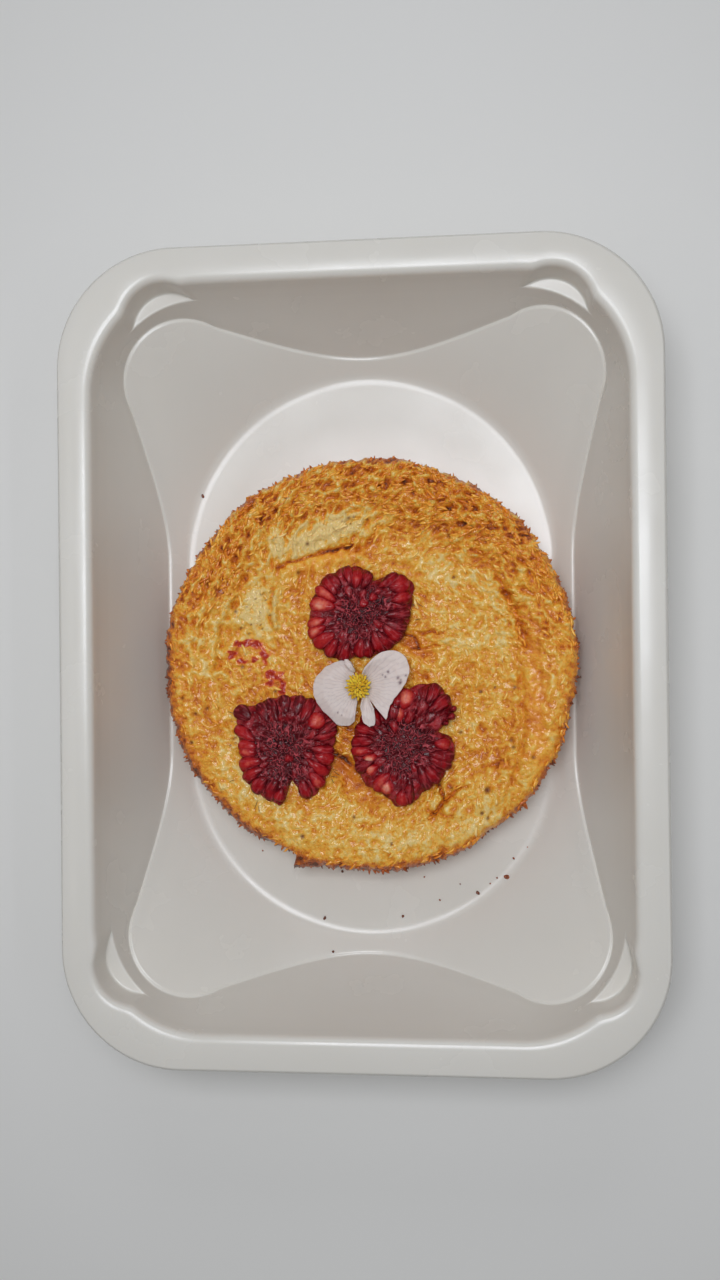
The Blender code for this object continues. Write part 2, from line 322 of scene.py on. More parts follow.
# %% [markdown]
# ## The tray: white polypropylene
# Food trays are thin polypropylene, formed in a smooth steel mould. The plastic is milky rather than
# opaque, so a little light soaks in and edges stay soft, and its skin is smooth enough to mirror what
# stands beside it as a blur. The colour is a warm white; faint waviness from cooling and a fine
# moulded grain keep the reflections from looking like paint.

# %% Polypropylene
def start_material(name, values):
    """A material whose Principled shader has these constant values; returns it with its tree and shader."""
    made = bpy.data.materials.new(name)
    made.use_nodes = True
    shader = made.node_tree.nodes["Principled BSDF"]
    for label, value in values.items():
        shader.inputs[label].default_value = value
    return made, made.node_tree, shader


polypropylene, tree, shader = start_material(
    "white polypropylene",
    {
        "IOR": 1.49,
        "Subsurface Weight": 0.12,
        "Subsurface Scale": 0.001,
        "Subsurface Radius": (1.0, 0.9, 0.75),
    },
)
place = add(tree, "ShaderNodeTexCoord").outputs["Object"]
cloud = add(tree, "ShaderNodeTexNoise", inputs={"Vector": place, "Scale": 28.0, "Detail": 3.0})
white = add(
    tree,
    "ShaderNodeMix",
    {"data_type": "RGBA"},
    {0: cloud.outputs["Fac"], 6: rgb("DCD7CD"), 7: rgb("E1DDD5")},
)
tree.links.new(white.outputs[2], shader.inputs["Base Color"])
handled = add(tree, "ShaderNodeTexNoise", inputs={"Vector": place, "Scale": 60.0, "Detail": 4.0})
gloss = add(
    tree,
    "ShaderNodeMapRange",
    inputs={
        "Value": handled.outputs["Fac"], "From Min": 0.3, "From Max": 0.7, "To Min": 0.2, "To Max": 0.3
    },
)
tree.links.new(gloss.outputs["Result"], shader.inputs["Roughness"])
# The mould's grain is about 0.3 mm, so its scale is one over that in metres.
grain = add(tree, "ShaderNodeTexNoise", inputs={"Vector": place, "Scale": 1 / 0.0003, "Detail": 2.0})
wave = add(tree, "ShaderNodeTexNoise", inputs={"Vector": place, "Scale": 1 / 0.014, "Detail": 1.0})
skin = add(
    tree,
    "ShaderNodeMath",
    {"operation": "MULTIPLY_ADD"},
    {0: wave.outputs["Fac"], 1: 12.0, 2: grain.outputs["Fac"]},
)
relief = add(
    tree, "ShaderNodeBump", inputs={"Height": skin.outputs[0], "Strength": 0.25, "Distance": 0.00002}
)
tree.links.new(relief.outputs["Normal"], shader.inputs["Normal"])
print(polypropylene.name, "has", len(tree.nodes), "nodes")

# %% [markdown]
# The tray has a flat oval floor, a shallow ramp round it and a steep wall that leans outwards. Where
# the ramp meets the wall there is a narrow ledge, and each corner has a round pocket that keeps
# stacked trays from wedging. A mould maker would draw the section along a line from the centre and
# round its corners with a cutter, so the mesh does the same: one section for each of 720 directions,
# every corner rounded by its own radius, then the sheet is given its thickness.

# %% Tray sections
TRAY_WIDTH, TRAY_LENGTH, TRAY_HEIGHT, TRAY_WALL = 137.0, 187.0, 36.0, 0.8
RIM_RADIUS, OPENING_RADIUS, OPENING_Z = 27.0, 25.0, 34.5
OPENING_HALF_WIDTH, OPENING_HALF_LENGTH = 60.8, 85.2
FLOOR_RADIUS, FLOOR_HALF_STRAIGHT, RAMP_SLOPE = 46.3, 23.7, 0.78
POCKET_RADIUS, POCKET_SHELF_Z = 9.0, 27.0
BACK_POCKET, FRONT_POCKET = (43.9, 76.5), (51.8, -69.7)
DIRECTIONS = 720


def outside_floor(x, y):
    """How far a point lies outside the oval floor; negative inside it."""
    return np.hypot(x, np.maximum(np.abs(y) - FLOOR_HALF_STRAIGHT, 0)) - FLOOR_RADIUS


def ramp_height(x, y):
    """The height of the floor and of the ramp that rises round it."""
    return TRAY_WALL + RAMP_SLOPE * np.maximum(outside_floor(x, y), 0)


def wall_height(x, y):
    """The leaning wall's height over a point, from how far the point is inside the opening."""
    over_x = np.abs(x) - (OPENING_HALF_WIDTH - OPENING_RADIUS)
    over_y = np.abs(y) - (OPENING_HALF_LENGTH - OPENING_RADIUS)
    corner = (over_x > 0) & (over_y > 0)
    inset = OPENING_RADIUS - np.where(corner, np.hypot(over_x, over_y), np.maximum(over_x, over_y))
    share = np.where(corner, over_y**2 / (over_x**2 + over_y**2 + 1e-9), over_y > over_x)
    inset = np.maximum(inset, 0)
    steeper = 1 - 0.42 * 2 * np.sqrt(share * (1 - share))
    lean, curve = (0.140 + 0.038 * share) * steeper, (0.0062 - 0.0005 * share) * steeper
    return OPENING_Z - (np.sqrt(lean**2 + 4 * curve * inset) - lean) / (2 * curve)


def inside_rim(x, y):
    """Whether a point lies inside the flange's outline, a rectangle with round corners."""
    over_x = np.abs(x) - (TRAY_WIDTH / 2 - RIM_RADIUS)
    over_y = np.abs(y) - (TRAY_LENGTH / 2 - RIM_RADIUS)
    past_corner = np.hypot(np.maximum(over_x, 0), np.maximum(over_y, 0))
    return past_corner + np.minimum(np.maximum(over_x, over_y), 0) < RIM_RADIUS


def farthest(turn, holds):
    """How far along each direction the test holds, by halving the interval."""
    low, high = np.zeros(turn.shape), np.full(turn.shape, 130.0)
    for _ in range(34):
        middle = (low + high) / 2
        inside = holds(middle * np.cos(turn), middle * np.sin(turn))
        low, high = np.where(inside, middle, low), np.where(inside, high, middle)
    return low


def pocket_reach(turn):
    """Where each direction leaves the stacking pocket's circle, or 0 where it misses it."""
    reach = np.zeros(turn.shape)
    for px, py in (BACK_POCKET, FRONT_POCKET):
        for side in (1, -1):
            along = side * px * np.cos(turn) + py * np.sin(turn)
            aside = side * px * np.sin(turn) - py * np.cos(turn)
            hit = (np.abs(aside) < POCKET_RADIUS) & (along > 0)
            reach = np.where(hit, along + np.sqrt(np.maximum(POCKET_RADIUS**2 - aside**2, 0)), reach)
    return reach


def round_corners(section, radii, steps=5):
    """Replaces each inner corner of every section by a curve that starts this far from it."""
    made = [section[0]]
    for k in range(1, len(section) - 1):
        before, corner, after = section[k - 1], section[k], section[k + 1]
        if not radii[k]:
            made.append(corner)
            continue
        legs = []
        for other in (before, after):
            length = np.linalg.norm(other - corner, axis=-1, keepdims=True) + 1e-9
            legs.append(corner + (other - corner) / length * np.minimum(radii[k], 0.46 * length))
        for t in np.linspace(0, 1, steps):
            made.append((1 - t) ** 2 * legs[0] + 2 * t * (1 - t) * corner + t * t * legs[1])
    return np.stack(made + [section[-1]])


def soft_max(a, b, blend):
    """The larger of two reaches, with the notch between them filled by a curve."""
    share = np.clip(0.5 + (a - b) / (2 * blend), 0, 1)
    return b * (1 - share) + a * share + blend * share * (1 - share)


evenly = np.linspace(0, 2 * np.pi, DIRECTIONS, endpoint=False)
# Directions crowd towards the corners, where the pockets are.
turns = evenly - 0.11 * np.sin(4 * evenly)
floor_edge = farthest(turns, lambda x, y: outside_floor(x, y) < 0)
crease = farthest(turns, lambda x, y: wall_height(x, y) < ramp_height(x, y))
crease_z = ramp_height(crease * np.cos(turns), crease * np.sin(turns))
pocket = pocket_reach(turns)


def wall_at(height):
    """How far out the leaning wall reaches this height, in every direction."""
    return farthest(turns, lambda x, y: wall_height(x, y) < height)


section, radii = [], []


def add_corner(reach, height, rounding=0):
    """Adds one corner to every section; the rounding says how far from the corner its curve starts."""
    section.append((reach + 0 * turns, height + 0 * turns))
    radii.append(rounding)


add_corner(0, TRAY_WALL)
for share in (0.3, 0.6, 0.85):
    add_corner(floor_edge * share, TRAY_WALL)
add_corner(floor_edge, TRAY_WALL, 2.0)
for share in (0.35, 0.7):
    add_corner(floor_edge + (crease - floor_edge) * share, TRAY_WALL + (crease_z - TRAY_WALL) * share)
# The narrow ledge between the ramp and the wall.
add_corner(crease - 0.9, crease_z - 0.9 * RAMP_SLOPE, 0.35)
add_corner(crease - 0.05, crease_z - 0.62, 0.4)
for share in (0.12, 0.3, 0.5, 0.7, 0.86):
    height = crease_z + (POCKET_SHELF_Z - 0.5 - crease_z) * share
    add_corner(wall_at(height), height)
add_corner(wall_at(POCKET_SHELF_Z), POCKET_SHELF_Z, 0.45)
add_corner(soft_max(wall_at(POCKET_SHELF_Z + 0.05), pocket, 0.5), POCKET_SHELF_Z + 0.05, 0.6)
for height in (28.6, 30.2, 32.0):
    add_corner(soft_max(wall_at(height), pocket + (height - POCKET_SHELF_Z) * 0.03, 0.6), height)
# The flange: a rounded inner edge, a level top and a lip turned down.
opening = soft_max(wall_at(OPENING_Z - 0.001), pocket + 0.25, 0.8)
rim = farthest(turns, inside_rim)
add_corner(opening, TRAY_HEIGHT - 0.25, 2.3)
add_corner((opening + rim) / 2, TRAY_HEIGHT)
add_corner(rim - 0.75, TRAY_HEIGHT - 0.05, 0.3)
add_corner(rim, TRAY_HEIGHT - 0.95, 0.4)
add_corner(rim, TRAY_HEIGHT - 2.4)
stacked = np.array([np.stack(pair, -1) for pair in section])
smooth_section = round_corners(stacked, radii)
print("tray section:", len(section), "corners,", len(smooth_section), "points")
print("opening across:", (2 * opening.min()).round(1), "mm")

# %% Tray
reach, height = smooth_section[1:, :, 0], smooth_section[1:, :, 1]
ring_points = np.stack([reach * np.cos(turns), reach * np.sin(turns), height], -1).reshape(-1, 3)
points = np.vstack([ring_points, [[0, 0, TRAY_WALL]]])
rings = len(reach)
index = np.arange(rings * DIRECTIONS).reshape(rings, DIRECTIONS)
following = np.roll(index, -1, axis=1)
faces = np.stack([index[:-1], index[1:], following[1:], following[:-1]], -1).reshape(-1, 4).tolist()
faces += [(len(points) - 1, int(a), int(b)) for a, b in zip(index[0], following[0])]
tray = make_piece("tray_shell", points, faces, polypropylene)
# A little thinner than the wall, so that the underside stays just above the table.
TRAY_SHARE = 0.96
thicken(tray, TRAY_WALL * TRAY_SHARE)
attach(tray, "root")
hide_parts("tray")
print("tray with its wall:", triangle_count(tray.data), "triangles")

# %% [markdown]
# ## The souffle: baked egg crust
# A souffle is beaten egg that has risen, browned and sunk again. Its rim stays high and takes most of
# the oven's heat, its middle falls and wrinkles, and its skin tears into small flakes, blisters and
# pits. The shape is a height map: a plain section (flat middle, raised rim) plus folds drawn where the
# skin has slipped, threads that run round the rim, fine crumbs and pin holes. A grid bent into a disc
# carries it, because its cells have the same size everywhere and no point is pinched.

# %% Souffle: section and outline
CAKE_CENTRE, CAKE_RADIUS = (1.0, -2.1), 50.3
# The tear starts at this angle and deepens over its span; beyond it a corner sticks out and fades.
TEAR_START, TEAR_SPAN, TEAR_DEPTH = 234.0, 14.5, 1.5
CORNER_SPAN, CORNER_LENGTH = 9.0, 2.3
CAKE_SECTION = (
    (0, 12.9), (24, 12.9), (31, 12.95), (34, 13.2), (37, 13.9), (39.5, 14.7), (42, 15.35),
    (44, 15.6), (46, 15.5), (47.6, 15.1), (48.9, 14.4), (49.8, 13.5), (50.3, 12.6),
)


def cake_outline(turn):
    """The edge's reach as a share of its radius: nearly round, with one torn step."""
    ragged = 0.004 * np.sin(9 * turn + 0.6) + 0.003 * np.sin(17 * turn + 2.0)
    uneven = 0.009 * np.cos(turn - math.radians(205)) + 0.003 * np.sin(2 * turn)
    return 1 + ragged + uneven


def torn_step(turn):
    """The part of the edge that has torn away, in mm; beyond the tear a corner has been pulled out."""
    torn = (np.degrees(turn) % 360 - TEAR_START) / TEAR_SPAN
    left = 1 - (torn - 1) * TEAR_SPAN / CORNER_SPAN
    taken = np.where((torn > 0) & (torn < 1), TEAR_DEPTH * torn, 0)
    return taken - np.where((torn >= 1) & (left > 0), CORNER_LENGTH * np.maximum(left, 0) ** 1.5, 0)


def edge_teeth(turn):
    """How far the torn edge stands out or in, in mm."""
    along = turn * CAKE_RADIUS
    coarse = noise(along, 0 * along + 3.3, 3.1, 11)
    fine = noise(along, 0 * along + 9.1, 1.25, 12)
    spikes = ramp(noise(along, 0 * along + 5.2, 1.0, 13), 0.25, 0.7)
    return 0.45 * coarse + 0.42 * fine + 0.55 * spikes - 0.3


section_radius, section_height = np.array(CAKE_SECTION).T
print("souffle:", 2 * CAKE_RADIUS, "mm across,", section_height.max(), "mm high")

# %% [markdown]
# Where the skin has folded, cracked or sunk, the marks are drawn as short paths and oval spots, the
# way a decorator would scratch and press them into clay: each has a width, a depth (negative stands
# up) and how much darker it makes the crust (negative paler). That tone is partly the crust's own
# browning and partly painted light: marks that sink are painted darker as shade, marks that stand up
# paler as highlight.

# %% Souffle: folds, cracks and browned places
FOLDS = (
    # points, width, depth, browning and painted shade
    (
        (
            (-21.5, 21.3), (-18.5, 22.9), (-15.8, 23.4), (-13.2, 24.6), (-10.8, 25.3), (-7.5, 25.6),
            (-3.0, 26.8),
        ),
        0.4, 1.0, 0.75,
    ),
    (((-22, 19.8), (-15, 21.6), (-9, 23.2), (-2, 24.6)), 1.3, -0.5, -0.10),
    (((-28.9, 20.5), (-31.2, 14.4), (-33.7, 9.0), (-35.3, 2.9), (-36.4, -3.0)), 0.8, 0.55, 0.12),
    (((-24.6, 19.5), (-25.2, 16.2), (-23.6, 13.0)), 0.5, 0.45, 0.15),
    (((37.2, -4.0), (37.4, -8.6), (37.6, -16.3), (37.1, -21.7), (35.9, -27.0)), 0.7, 0.6, 0.10),
    (
        ((35.9, -27.0), (35.5, -31.3), (31.2, -37.7), (21.1, -40.2), (11.5, -40.9), (2.0, -41.5)),
        1.1, 0.35, 0.05,
    ),
    (((34.2, 14.5), (36.2, 9.5), (37.4, 5.2), (38.4, 2.0)), 0.8, 0.6, 0.14),
    (((24.0, 30.0), (29.5, 22.5), (33.5, 15.5), (35.5, 11.0)), 0.7, 0.5, 0.12),
    (((16.9, -30.8), (18.8, -34.9), (16.9, -37.5), (14.7, -39.2)), 0.45, 1.1, 0.50),
    (((18.8, -34.9), (22.0, -32.4), (24.5, -31.6)), 0.45, 0.9, 0.42),
    (((14.7, -37.2), (17.5, -38.4), (20.6, -38.6)), 0.45, 0.9, 0.40),
    (((-8.6, -23.6), (-5.2, -25.6), (-1.8, -28.2), (1.6, -31.0), (3.4, -32.8)), 0.5, 0.9, 0.42),
    (((-9.6, -25.6), (-6.4, -29.0), (-3.0, -32.6), (0.5, -35.0)), 1.8, 0.4, 0.08),
    (((13.4, 5.2), (15.4, 5.7), (17.4, 5.0), (19.6, 5.7)), 0.35, 0.7, 0.50),
    (((8.8, 5.4), (11.4, 4.0), (12.9, 1.8)), 0.4, 0.7, 0.42),
    (((11.0, 1.4), (14.0, 1.7), (17.8, 1.9)), 0.35, 0.6, 0.40),
    (((-20.8, 17.5), (-22.3, 12.0), (-21.9, 7.0)), 0.6, -0.6, -0.12),
    (((-22.1, 17.0), (-23.5, 12.0), (-23.1, 7.5)), 0.4, 0.6, 0.36),
    (((-1.5, 25.5), (1.5, 28.0), (3.6, 31.5)), 0.6, 0.6, 0.22),
    (((3.6, 31.5), (8.0, 30.0), (13.0, 29.5)), 0.6, 0.4, 0.12),
    (((-27.5, 37.0), (-31.0, 31.0), (-33.0, 25.0)), 0.8, 0.5, 0.15),
    (((-34.0, 26.0), (-38.0, 19.0), (-41.0, 11.0)), 0.7, 0.4, 0.12),
    (((28.0, -26.8), (31.0, -26.2), (33.6, -25.6)), 0.5, 0.5, 0.35),
)
SPOTS = (
    # x, y, half length, half width, turn, height, browning and painted shade
    (-8.6, 30.4, 11.0, 3.8, 14, 0.8, -0.52),
    (-15.0, 27.2, 6.5, 2.6, 25, 0.4, -0.38),
    (-9.0, 23.6, 9.5, 1.7, 15, -0.2, 0.06),
    (-25.8, 11.4, 5.2, 8.5, -12, 0.20, -0.42),
    (-38.5, 4.5, 4.0, 9.0, -8, 0.0, -0.16),
    (17.5, 21.0, 8.0, 4.2, -20, 0.30, -0.22),
    (27.5, 19.0, 5.0, 5.0, 0, 0.15, -0.16),
    (26.0, 3.0, 9.0, 6.5, -10, 0.10, -0.20),
    (33.2, 4.5, 3.5, 5.5, 0, 0.20, -0.14),
    (25.0, -13.0, 8.0, 7.0, 0, 0.10, -0.14),
    (22.5, -9.0, 3.4, 2.2, 20, -0.05, 0.20),
    (30.5, -23.5, 4.5, 2.2, 10, -0.1, 0.24),
    (28.0, -20.0, 4.0, 4.0, 0, 0.0, 0.08),
    (44.5, -22.0, 2.6, 15.0, 8, 0.0, -0.10),
    (40.8, -13.0, 2.2, 19.0, 3, -0.35, 0.06),
    (9.9, 3.6, 2.5, 1.2, -42, -0.7, 0.36),
    (14.0, 0.4, 2.6, 0.9, -8, -0.6, 0.40),
    (-4.4, -29.2, 7.6, 2.6, -42, -0.85, 0.24),
    (-4.6, -19.6, 2.8, 4.0, 0, -0.3, 0.34),
    (-26.0, -31.0, 7.0, 5.0, -40, 0.15, -0.22),
    (-31.0, -19.5, 3.2, 6.0, 0, 0.1, -0.20),
    (8.0, -43.5, 14.0, 3.0, 3, 0.15, -0.16),
    (-4.0, -38.0, 9.0, 4.0, 0, 0.1, -0.06),
    (28.5, -40.0, 4.0, 9.0, -52, 0.1, -0.16),
    (20.8, 35.0, 9.0, 5.0, -26, 0.0, 0.28),
    (9.0, 39.0, 9.0, 4.5, -5, 0.0, 0.34),
    (-18.1, 40.5, 8.0, 3.2, 25, 0.0, 0.06),
    (-33.0, 27.4, 4.0, 8.0, -36, 0.0, 0.08),
    (-38.5, 16.0, 3.2, 6.0, -20, 0.0, 0.14),
    (39.0, 24.0, 4.0, 8.0, 32, 0.0, 0.14),
    (36.0, 2.0, 2.0, 4.5, 10, -0.1, 0.24),
    (33.3, -25.9, 1.3, 0.6, 8, -0.45, 0.4),
)
# Large pin holes (x, y, radius) and marks of juice (x, y, half length, half width, turn), all in mm.
PITS = (
    (28.9, -32.3, 0.75), (27.6, -37.8, 0.5), (27.7, -9.0, 0.45), (21.5, 18.6, 0.4), (-15.5, -43.5, 0.5),
    (-42.7, -20.8, 0.45), (6.0, -45.2, 0.35), (35.5, -41.2, 0.3), (-30.5, 7.0, 0.35), (31.0, -8.0, 0.3),
)
JUICE = (
    (-26.6, 2.6, 1.3, 0.8, -20), (-24.6, 0.0, 0.8, 1.1, 0),
    (-30.2, 3.2, 1.8, 0.6, 15), (-32.9, 0.4, 0.9, 0.8, 40),
    (-30.2, -1.0, 1.0, 0.6, 10), (-23.0, -4.6, 1.6, 0.7, -10),
    (-20.8, -5.6, 0.7, 1.0, 0), (-20.6, -8.4, 0.5, 1.8, 0),
    (-27.4, -0.6, 0.6, 0.5, 0), (-23.2, -6.6, 0.7, 0.7, 0),
)
# Places where the skin was pulled smooth, and places that are full of pin holes, as ovals too.
SMOOTH = (
    (40.8, -13, 2.4, 18, 3), (-4.4, -29.2, 7.2, 2.5, -42), (-9, 23.6, 9, 1.6, 15), (12, 2, 4, 2.4, -30)
)
PITTED = ((-26.0, 10.0, 4.5, 7.5, -12), (-2.0, 32.0, 4.5, 3.0, 0), (-31.0, -20.0, 3.5, 7.0, 0))
# One burst blister on the left has left a small raised ring: x, y, radius, width.
BLISTER = (-46.5, -16.1, 1.1, 0.35)
# Above this the browning levels off, so that only folds and the edge turn darker.
BROWNING_KNEE = 0.62
print(len(FOLDS), "folds,", len(SPOTS), "spots,", len(PITS), "large pin holes,", len(JUICE), "juice marks")


# %% [markdown]
# The crust is worked out from coarse to fine, the way it formed: first what the oven browned, then the
# folds and sunken places, then threads of skin, bubbles, pin holes and the juice that soaked in. Every
# layer changes the height, the browning or both, and part of the browning is painted shade and painted
# highlight that follow the shape, so shape and colour always agree.

# %% Souffle: crust
def skin_flow(x, y, turn, curl):
    """The way that threads of dried skin run: round the cake, curling a little to both sides."""
    return turn + np.pi / 2 + 0.25 + 0.9 * noise(x, y, 11, 31) * curl


def crust(x, y):
    """The crust over points of the plan: its lift from the plain section, browning, relief, pits,
    juice and softness."""
    dx, dy = x - CAKE_CENTRE[0], y - CAKE_CENTRE[1]
    radius, turn = np.hypot(dx, dy), np.arctan2(dy, dx)
    # The far half of the rim took most of the heat.
    upper = ramp(np.sin(turn - 0.05) + 0.12 * noise(x, y, 17, 21), -0.25, 0.75)
    baked = upper * ramp(radius + 2.5 * noise(x, y, 12, 22), 27, 42)
    browning = 0.43 + 0.17 * baked + 0.11 * noise(x, y, 11, 23) + 0.08 * noise(x, y, 4.5, 24)
    # The near part of the rim stayed paler.
    paler = 0.10 * ramp(-np.sin(turn), 0.2, 0.9) * ramp(radius, 30, 44)
    browning = browning - paler * (1 - ramp(radius, 46, 49))
    height = 0.45 * noise(x, y, 24, 25) * (1 - ramp(radius, 40, 49)) + 0.30 * noise(x, y, 9, 26)
    bent_x, bent_y = x + 0.5 * noise(x, y, 2.6, 27), y + 0.5 * noise(x, y, 2.6, 28)
    # Sunk folds are painted darker and raised ones paler: partly the crust's own browning, partly painted
    # shade and painted highlight.
    fold_browning_and_shade = 0 * x
    for path, width, depth, browning_and_shade in FOLDS:
        mark = np.exp(-((near_path(bent_x, bent_y, path) / width) ** 2))
        height, fold_browning_and_shade = height - 1.5 * depth * mark, fold_browning_and_shade + 0.95 * browning_and_shade * mark
    wavy_x, wavy_y = x + 1.2 * noise(x, y, 5, 29), y + 1.2 * noise(x, y, 5, 30)
    # Spots change the crust's tone the same way: on sunk spots it is partly painted shade, on raised ones
    # partly painted highlight.
    for *spot, lift, browning_and_shade in SPOTS:
        mark = bump_at(wavy_x, wavy_y, spot)
        height, browning = height + lift * mark, browning + browning_and_shade * mark
    # Threads of dried skin lie over each other; they are coarsest where the crust is browned.
    flow = skin_flow(x, y, turn, 1 - 0.4 * baked)
    warp_x, warp_y = x + 0.45 * noise(x, y, 1.7, 32), y + 0.45 * noise(x, y, 1.7, 33)
    coarse = 1 - np.abs(fibres(warp_x, warp_y, flow, 4.6, 3.3, 34)) * 3.0
    fine = 1 - np.abs(fibres(warp_x, warp_y, flow + 0.5, 2.4, 1.7, 35)) * 2.6
    threads = np.clip(coarse, -0.3, 1) * 0.55 + np.clip(fine, -0.4, 1) * 0.45
    soft = np.clip(sum(bump_at(x, y, spot) for spot in SMOOTH), 0, 1)
    rough = (0.34 + 0.62 * baked) * (1 - 0.65 * soft)
    bubbles = layered(x, y, 1.9, 36, 2)
    # The relief also goes to the material, which paints raised threads paler and hollows darker: painted
    # highlight and painted shade.
    relief = threads * rough + 0.24 * bubbles * (1 - 0.4 * soft)
    # Pin holes are few all over, many in the pitted places, and the large ones stand where listed.
    near, own = cells(x, y, 3.9, 37)
    hole = np.exp(-((near / (0.18 + 0.25 * own)) ** 2)) * (own > 0.93)
    pitted = sum(bump_at(x, y, spot) for spot in PITTED)
    near, own = cells(x, y, 1.9, 42)
    hole = np.maximum(hole, np.exp(-((near / 0.24) ** 2)) * (own > 0.45) * ramp(pitted, 0.35, 0.6))
    for px, py, size in PITS:
        hole = np.maximum(hole, np.exp(-((np.hypot(x - px, y - py) / size) ** 4)))
    ring_x, ring_y, ring_radius, ring_width = BLISTER
    ring = np.exp(-(((np.hypot(x - ring_x, y - ring_y) - ring_radius) / ring_width) ** 2))
    # Juice has soaked in along the crumb, so its marks are ragged and broken.
    runny_x, runny_y = x + 0.9 * noise(x, y, 1.5, 38), y + 0.9 * noise(x, y, 1.5, 39)
    juice = sum(bump_at(runny_x, runny_y, spot) for spot in JUICE)
    broken = 0.5 + 0.5 * ramp(noise(x, y, 1.3, 43), -0.3, 0.15)
    juice = (0.5 * ramp(juice, 0.03, 0.3) + 0.5 * ramp(juice, 0.4, 0.8)) * broken
    height = height + relief * (1.3 + 0.2 * baked) * (1 - 0.3 * juice) - 0.4 * hole + 0.35 * ring
    levelled = BROWNING_KNEE + 0.35 * (browning - BROWNING_KNEE)
    browning = np.where(browning > BROWNING_KNEE, levelled, browning) + fold_browning_and_shade
    # The outermost millimetres are crisp, and darkest on the near side, where the edge tore.
    edge = ramp(radius + 0.7 * noise(x, y, 1.4, 40), 46.9, 50.4)
    low_edge = 0.12 + 0.36 * ramp(-np.sin(turn + 0.35), -0.3, 0.5)
    browning = browning + low_edge * edge + 0.06 * noise(x, y, 2.0, 41) * (1 - soft)
    return height, browning, relief, hole, juice, soft


# %% [markdown]
# The grid is laid over the cake and pushed out to its torn outline, and every point gets the height of
# the plain section with the crust on top. Below the edge, ten rings go down the side and draw in
# towards the base, as a cake does when it shrinks from its mould.

# %% Souffle: mesh
CAKE_CELLS = 276
unit_x, unit_y = disc_grid(CAKE_CELLS)
share = np.hypot(unit_x, unit_y)
turn = np.arctan2(unit_y, unit_x)
plain = share * CAKE_RADIUS
reach = plain * (1 + (cake_outline(turn) - 1) * ramp(share, 0.55, 1.0))
reach = reach + (edge_teeth(turn) - torn_step(turn)) * ramp(share, 0.955, 1.0)
x, y = from_centre(CAKE_CENTRE, reach, turn)
lift, browning, relief, hole, juice, soft = crust(x, y)
z = np.interp(plain, section_radius, section_height) + lift * (1 - 0.35 * ramp(share, 0.97, 1.0))
print(f"crust relief {lift.min():.2f} to {lift.max():.2f} mm, cell {2 * CAKE_RADIUS / CAKE_CELLS:.2f} mm")

# The side is drawn in towards the floor, crumbly at the top and smoother where it touched the mould.
SIDE = (
    (50.2, 11.9), (50.0, 11.0), (49.7, 9.9), (49.0, 8.5), (48.2, 7.0),
    (47.2, 5.4), (46.2, 4.0), (45.0, 2.7), (43.8, 1.6), (42.8, 0.95),
)
faces, edge = slab_faces(CAKE_CELLS, len(SIDE))
edge_turn = turn[edge]
rows = [np.stack([x, y, z], -1)]
side_browning, side_relief_shade = [], []
for k, (radius, height) in enumerate(SIDE):
    along = edge_turn * 50
    coarse = noise(along, 0 * along + height * 1.3, 1.5, 51)
    rough = coarse + 0.6 * noise(along, 0 * along + height * 2, 0.8, 52)
    fade = (1 - k / (len(SIDE) - 1)) ** 1.2
    out = radius * cake_outline(edge_turn) + fade * edge_teeth(edge_turn) * 0.8 - torn_step(edge_turn)
    out = out + 0.32 * rough * (0.35 + 0.65 * fade)
    up = height + 0.25 * rough * fade
    side_x, side_y = from_centre(CAKE_CENTRE, out, edge_turn)
    rows.append(np.stack([side_x, side_y, up], -1))
    side_browning.append(0.80 - 0.12 * ramp(np.sin(edge_turn), 0, 0.8) - 0.22 * (1 - fade) + 0.14 * rough)
    # The side's roughness is kept as relief only for colour: its bumps are painted paler and its dips
    # darker, painted highlight and painted shade.
    side_relief_shade.append(0.4 * rough)
BASE_Z = SIDE[-1][1]
rows.append(np.array([[*CAKE_CENTRE, BASE_Z]]))
# The side and the base have no pits, no juice and no smooth places.
blank = np.zeros(len(SIDE) * len(edge) + 1)
side_browning = np.append(np.concatenate(side_browning), 0.6)
side_relief_shade = np.append(np.concatenate(side_relief_shade), 0.0)

# %% [markdown]
# The crust is dried egg, sugar and butter. Cream where it stayed wet, yellow ochre over most of it,
# amber to rust where it caught the heat, dark brown on the thinnest teeth. Butter leaves a film that
# shines. Raised threads are also painted paler, a painted highlight, and the hollows between them are
# painted darker, a painted shade. The ramp below turns one number, how baked a point is, into that
# range of colours.

# %% Baked egg crust
egg_crust, tree, shader = start_material(
    "baked egg crust",
    {
        "IOR": 1.45,
        "Subsurface Weight": 0.18,
        "Subsurface Scale": 0.0012,
        "Subsurface Radius": (1.0, 0.55, 0.22),
        "Coat Weight": 0.5,
        "Coat Roughness": 0.12,
        "Coat IOR": 1.46,
    },
)
place = add(tree, "ShaderNodeTexCoord").outputs["Object"]
baked = add(tree, "ShaderNodeAttribute", {"attribute_name": "browning"}).outputs["Fac"]
relief_light_and_shade = add(tree, "ShaderNodeAttribute", {"attribute_name": "relief"}).outputs["Fac"]
pitted = add(tree, "ShaderNodeAttribute", {"attribute_name": "pit"}).outputs["Fac"]
stained = add(tree, "ShaderNodeAttribute", {"attribute_name": "juice"}).outputs["Fac"]
pulled = add(tree, "ShaderNodeAttribute", {"attribute_name": "soft"}).outputs["Fac"]
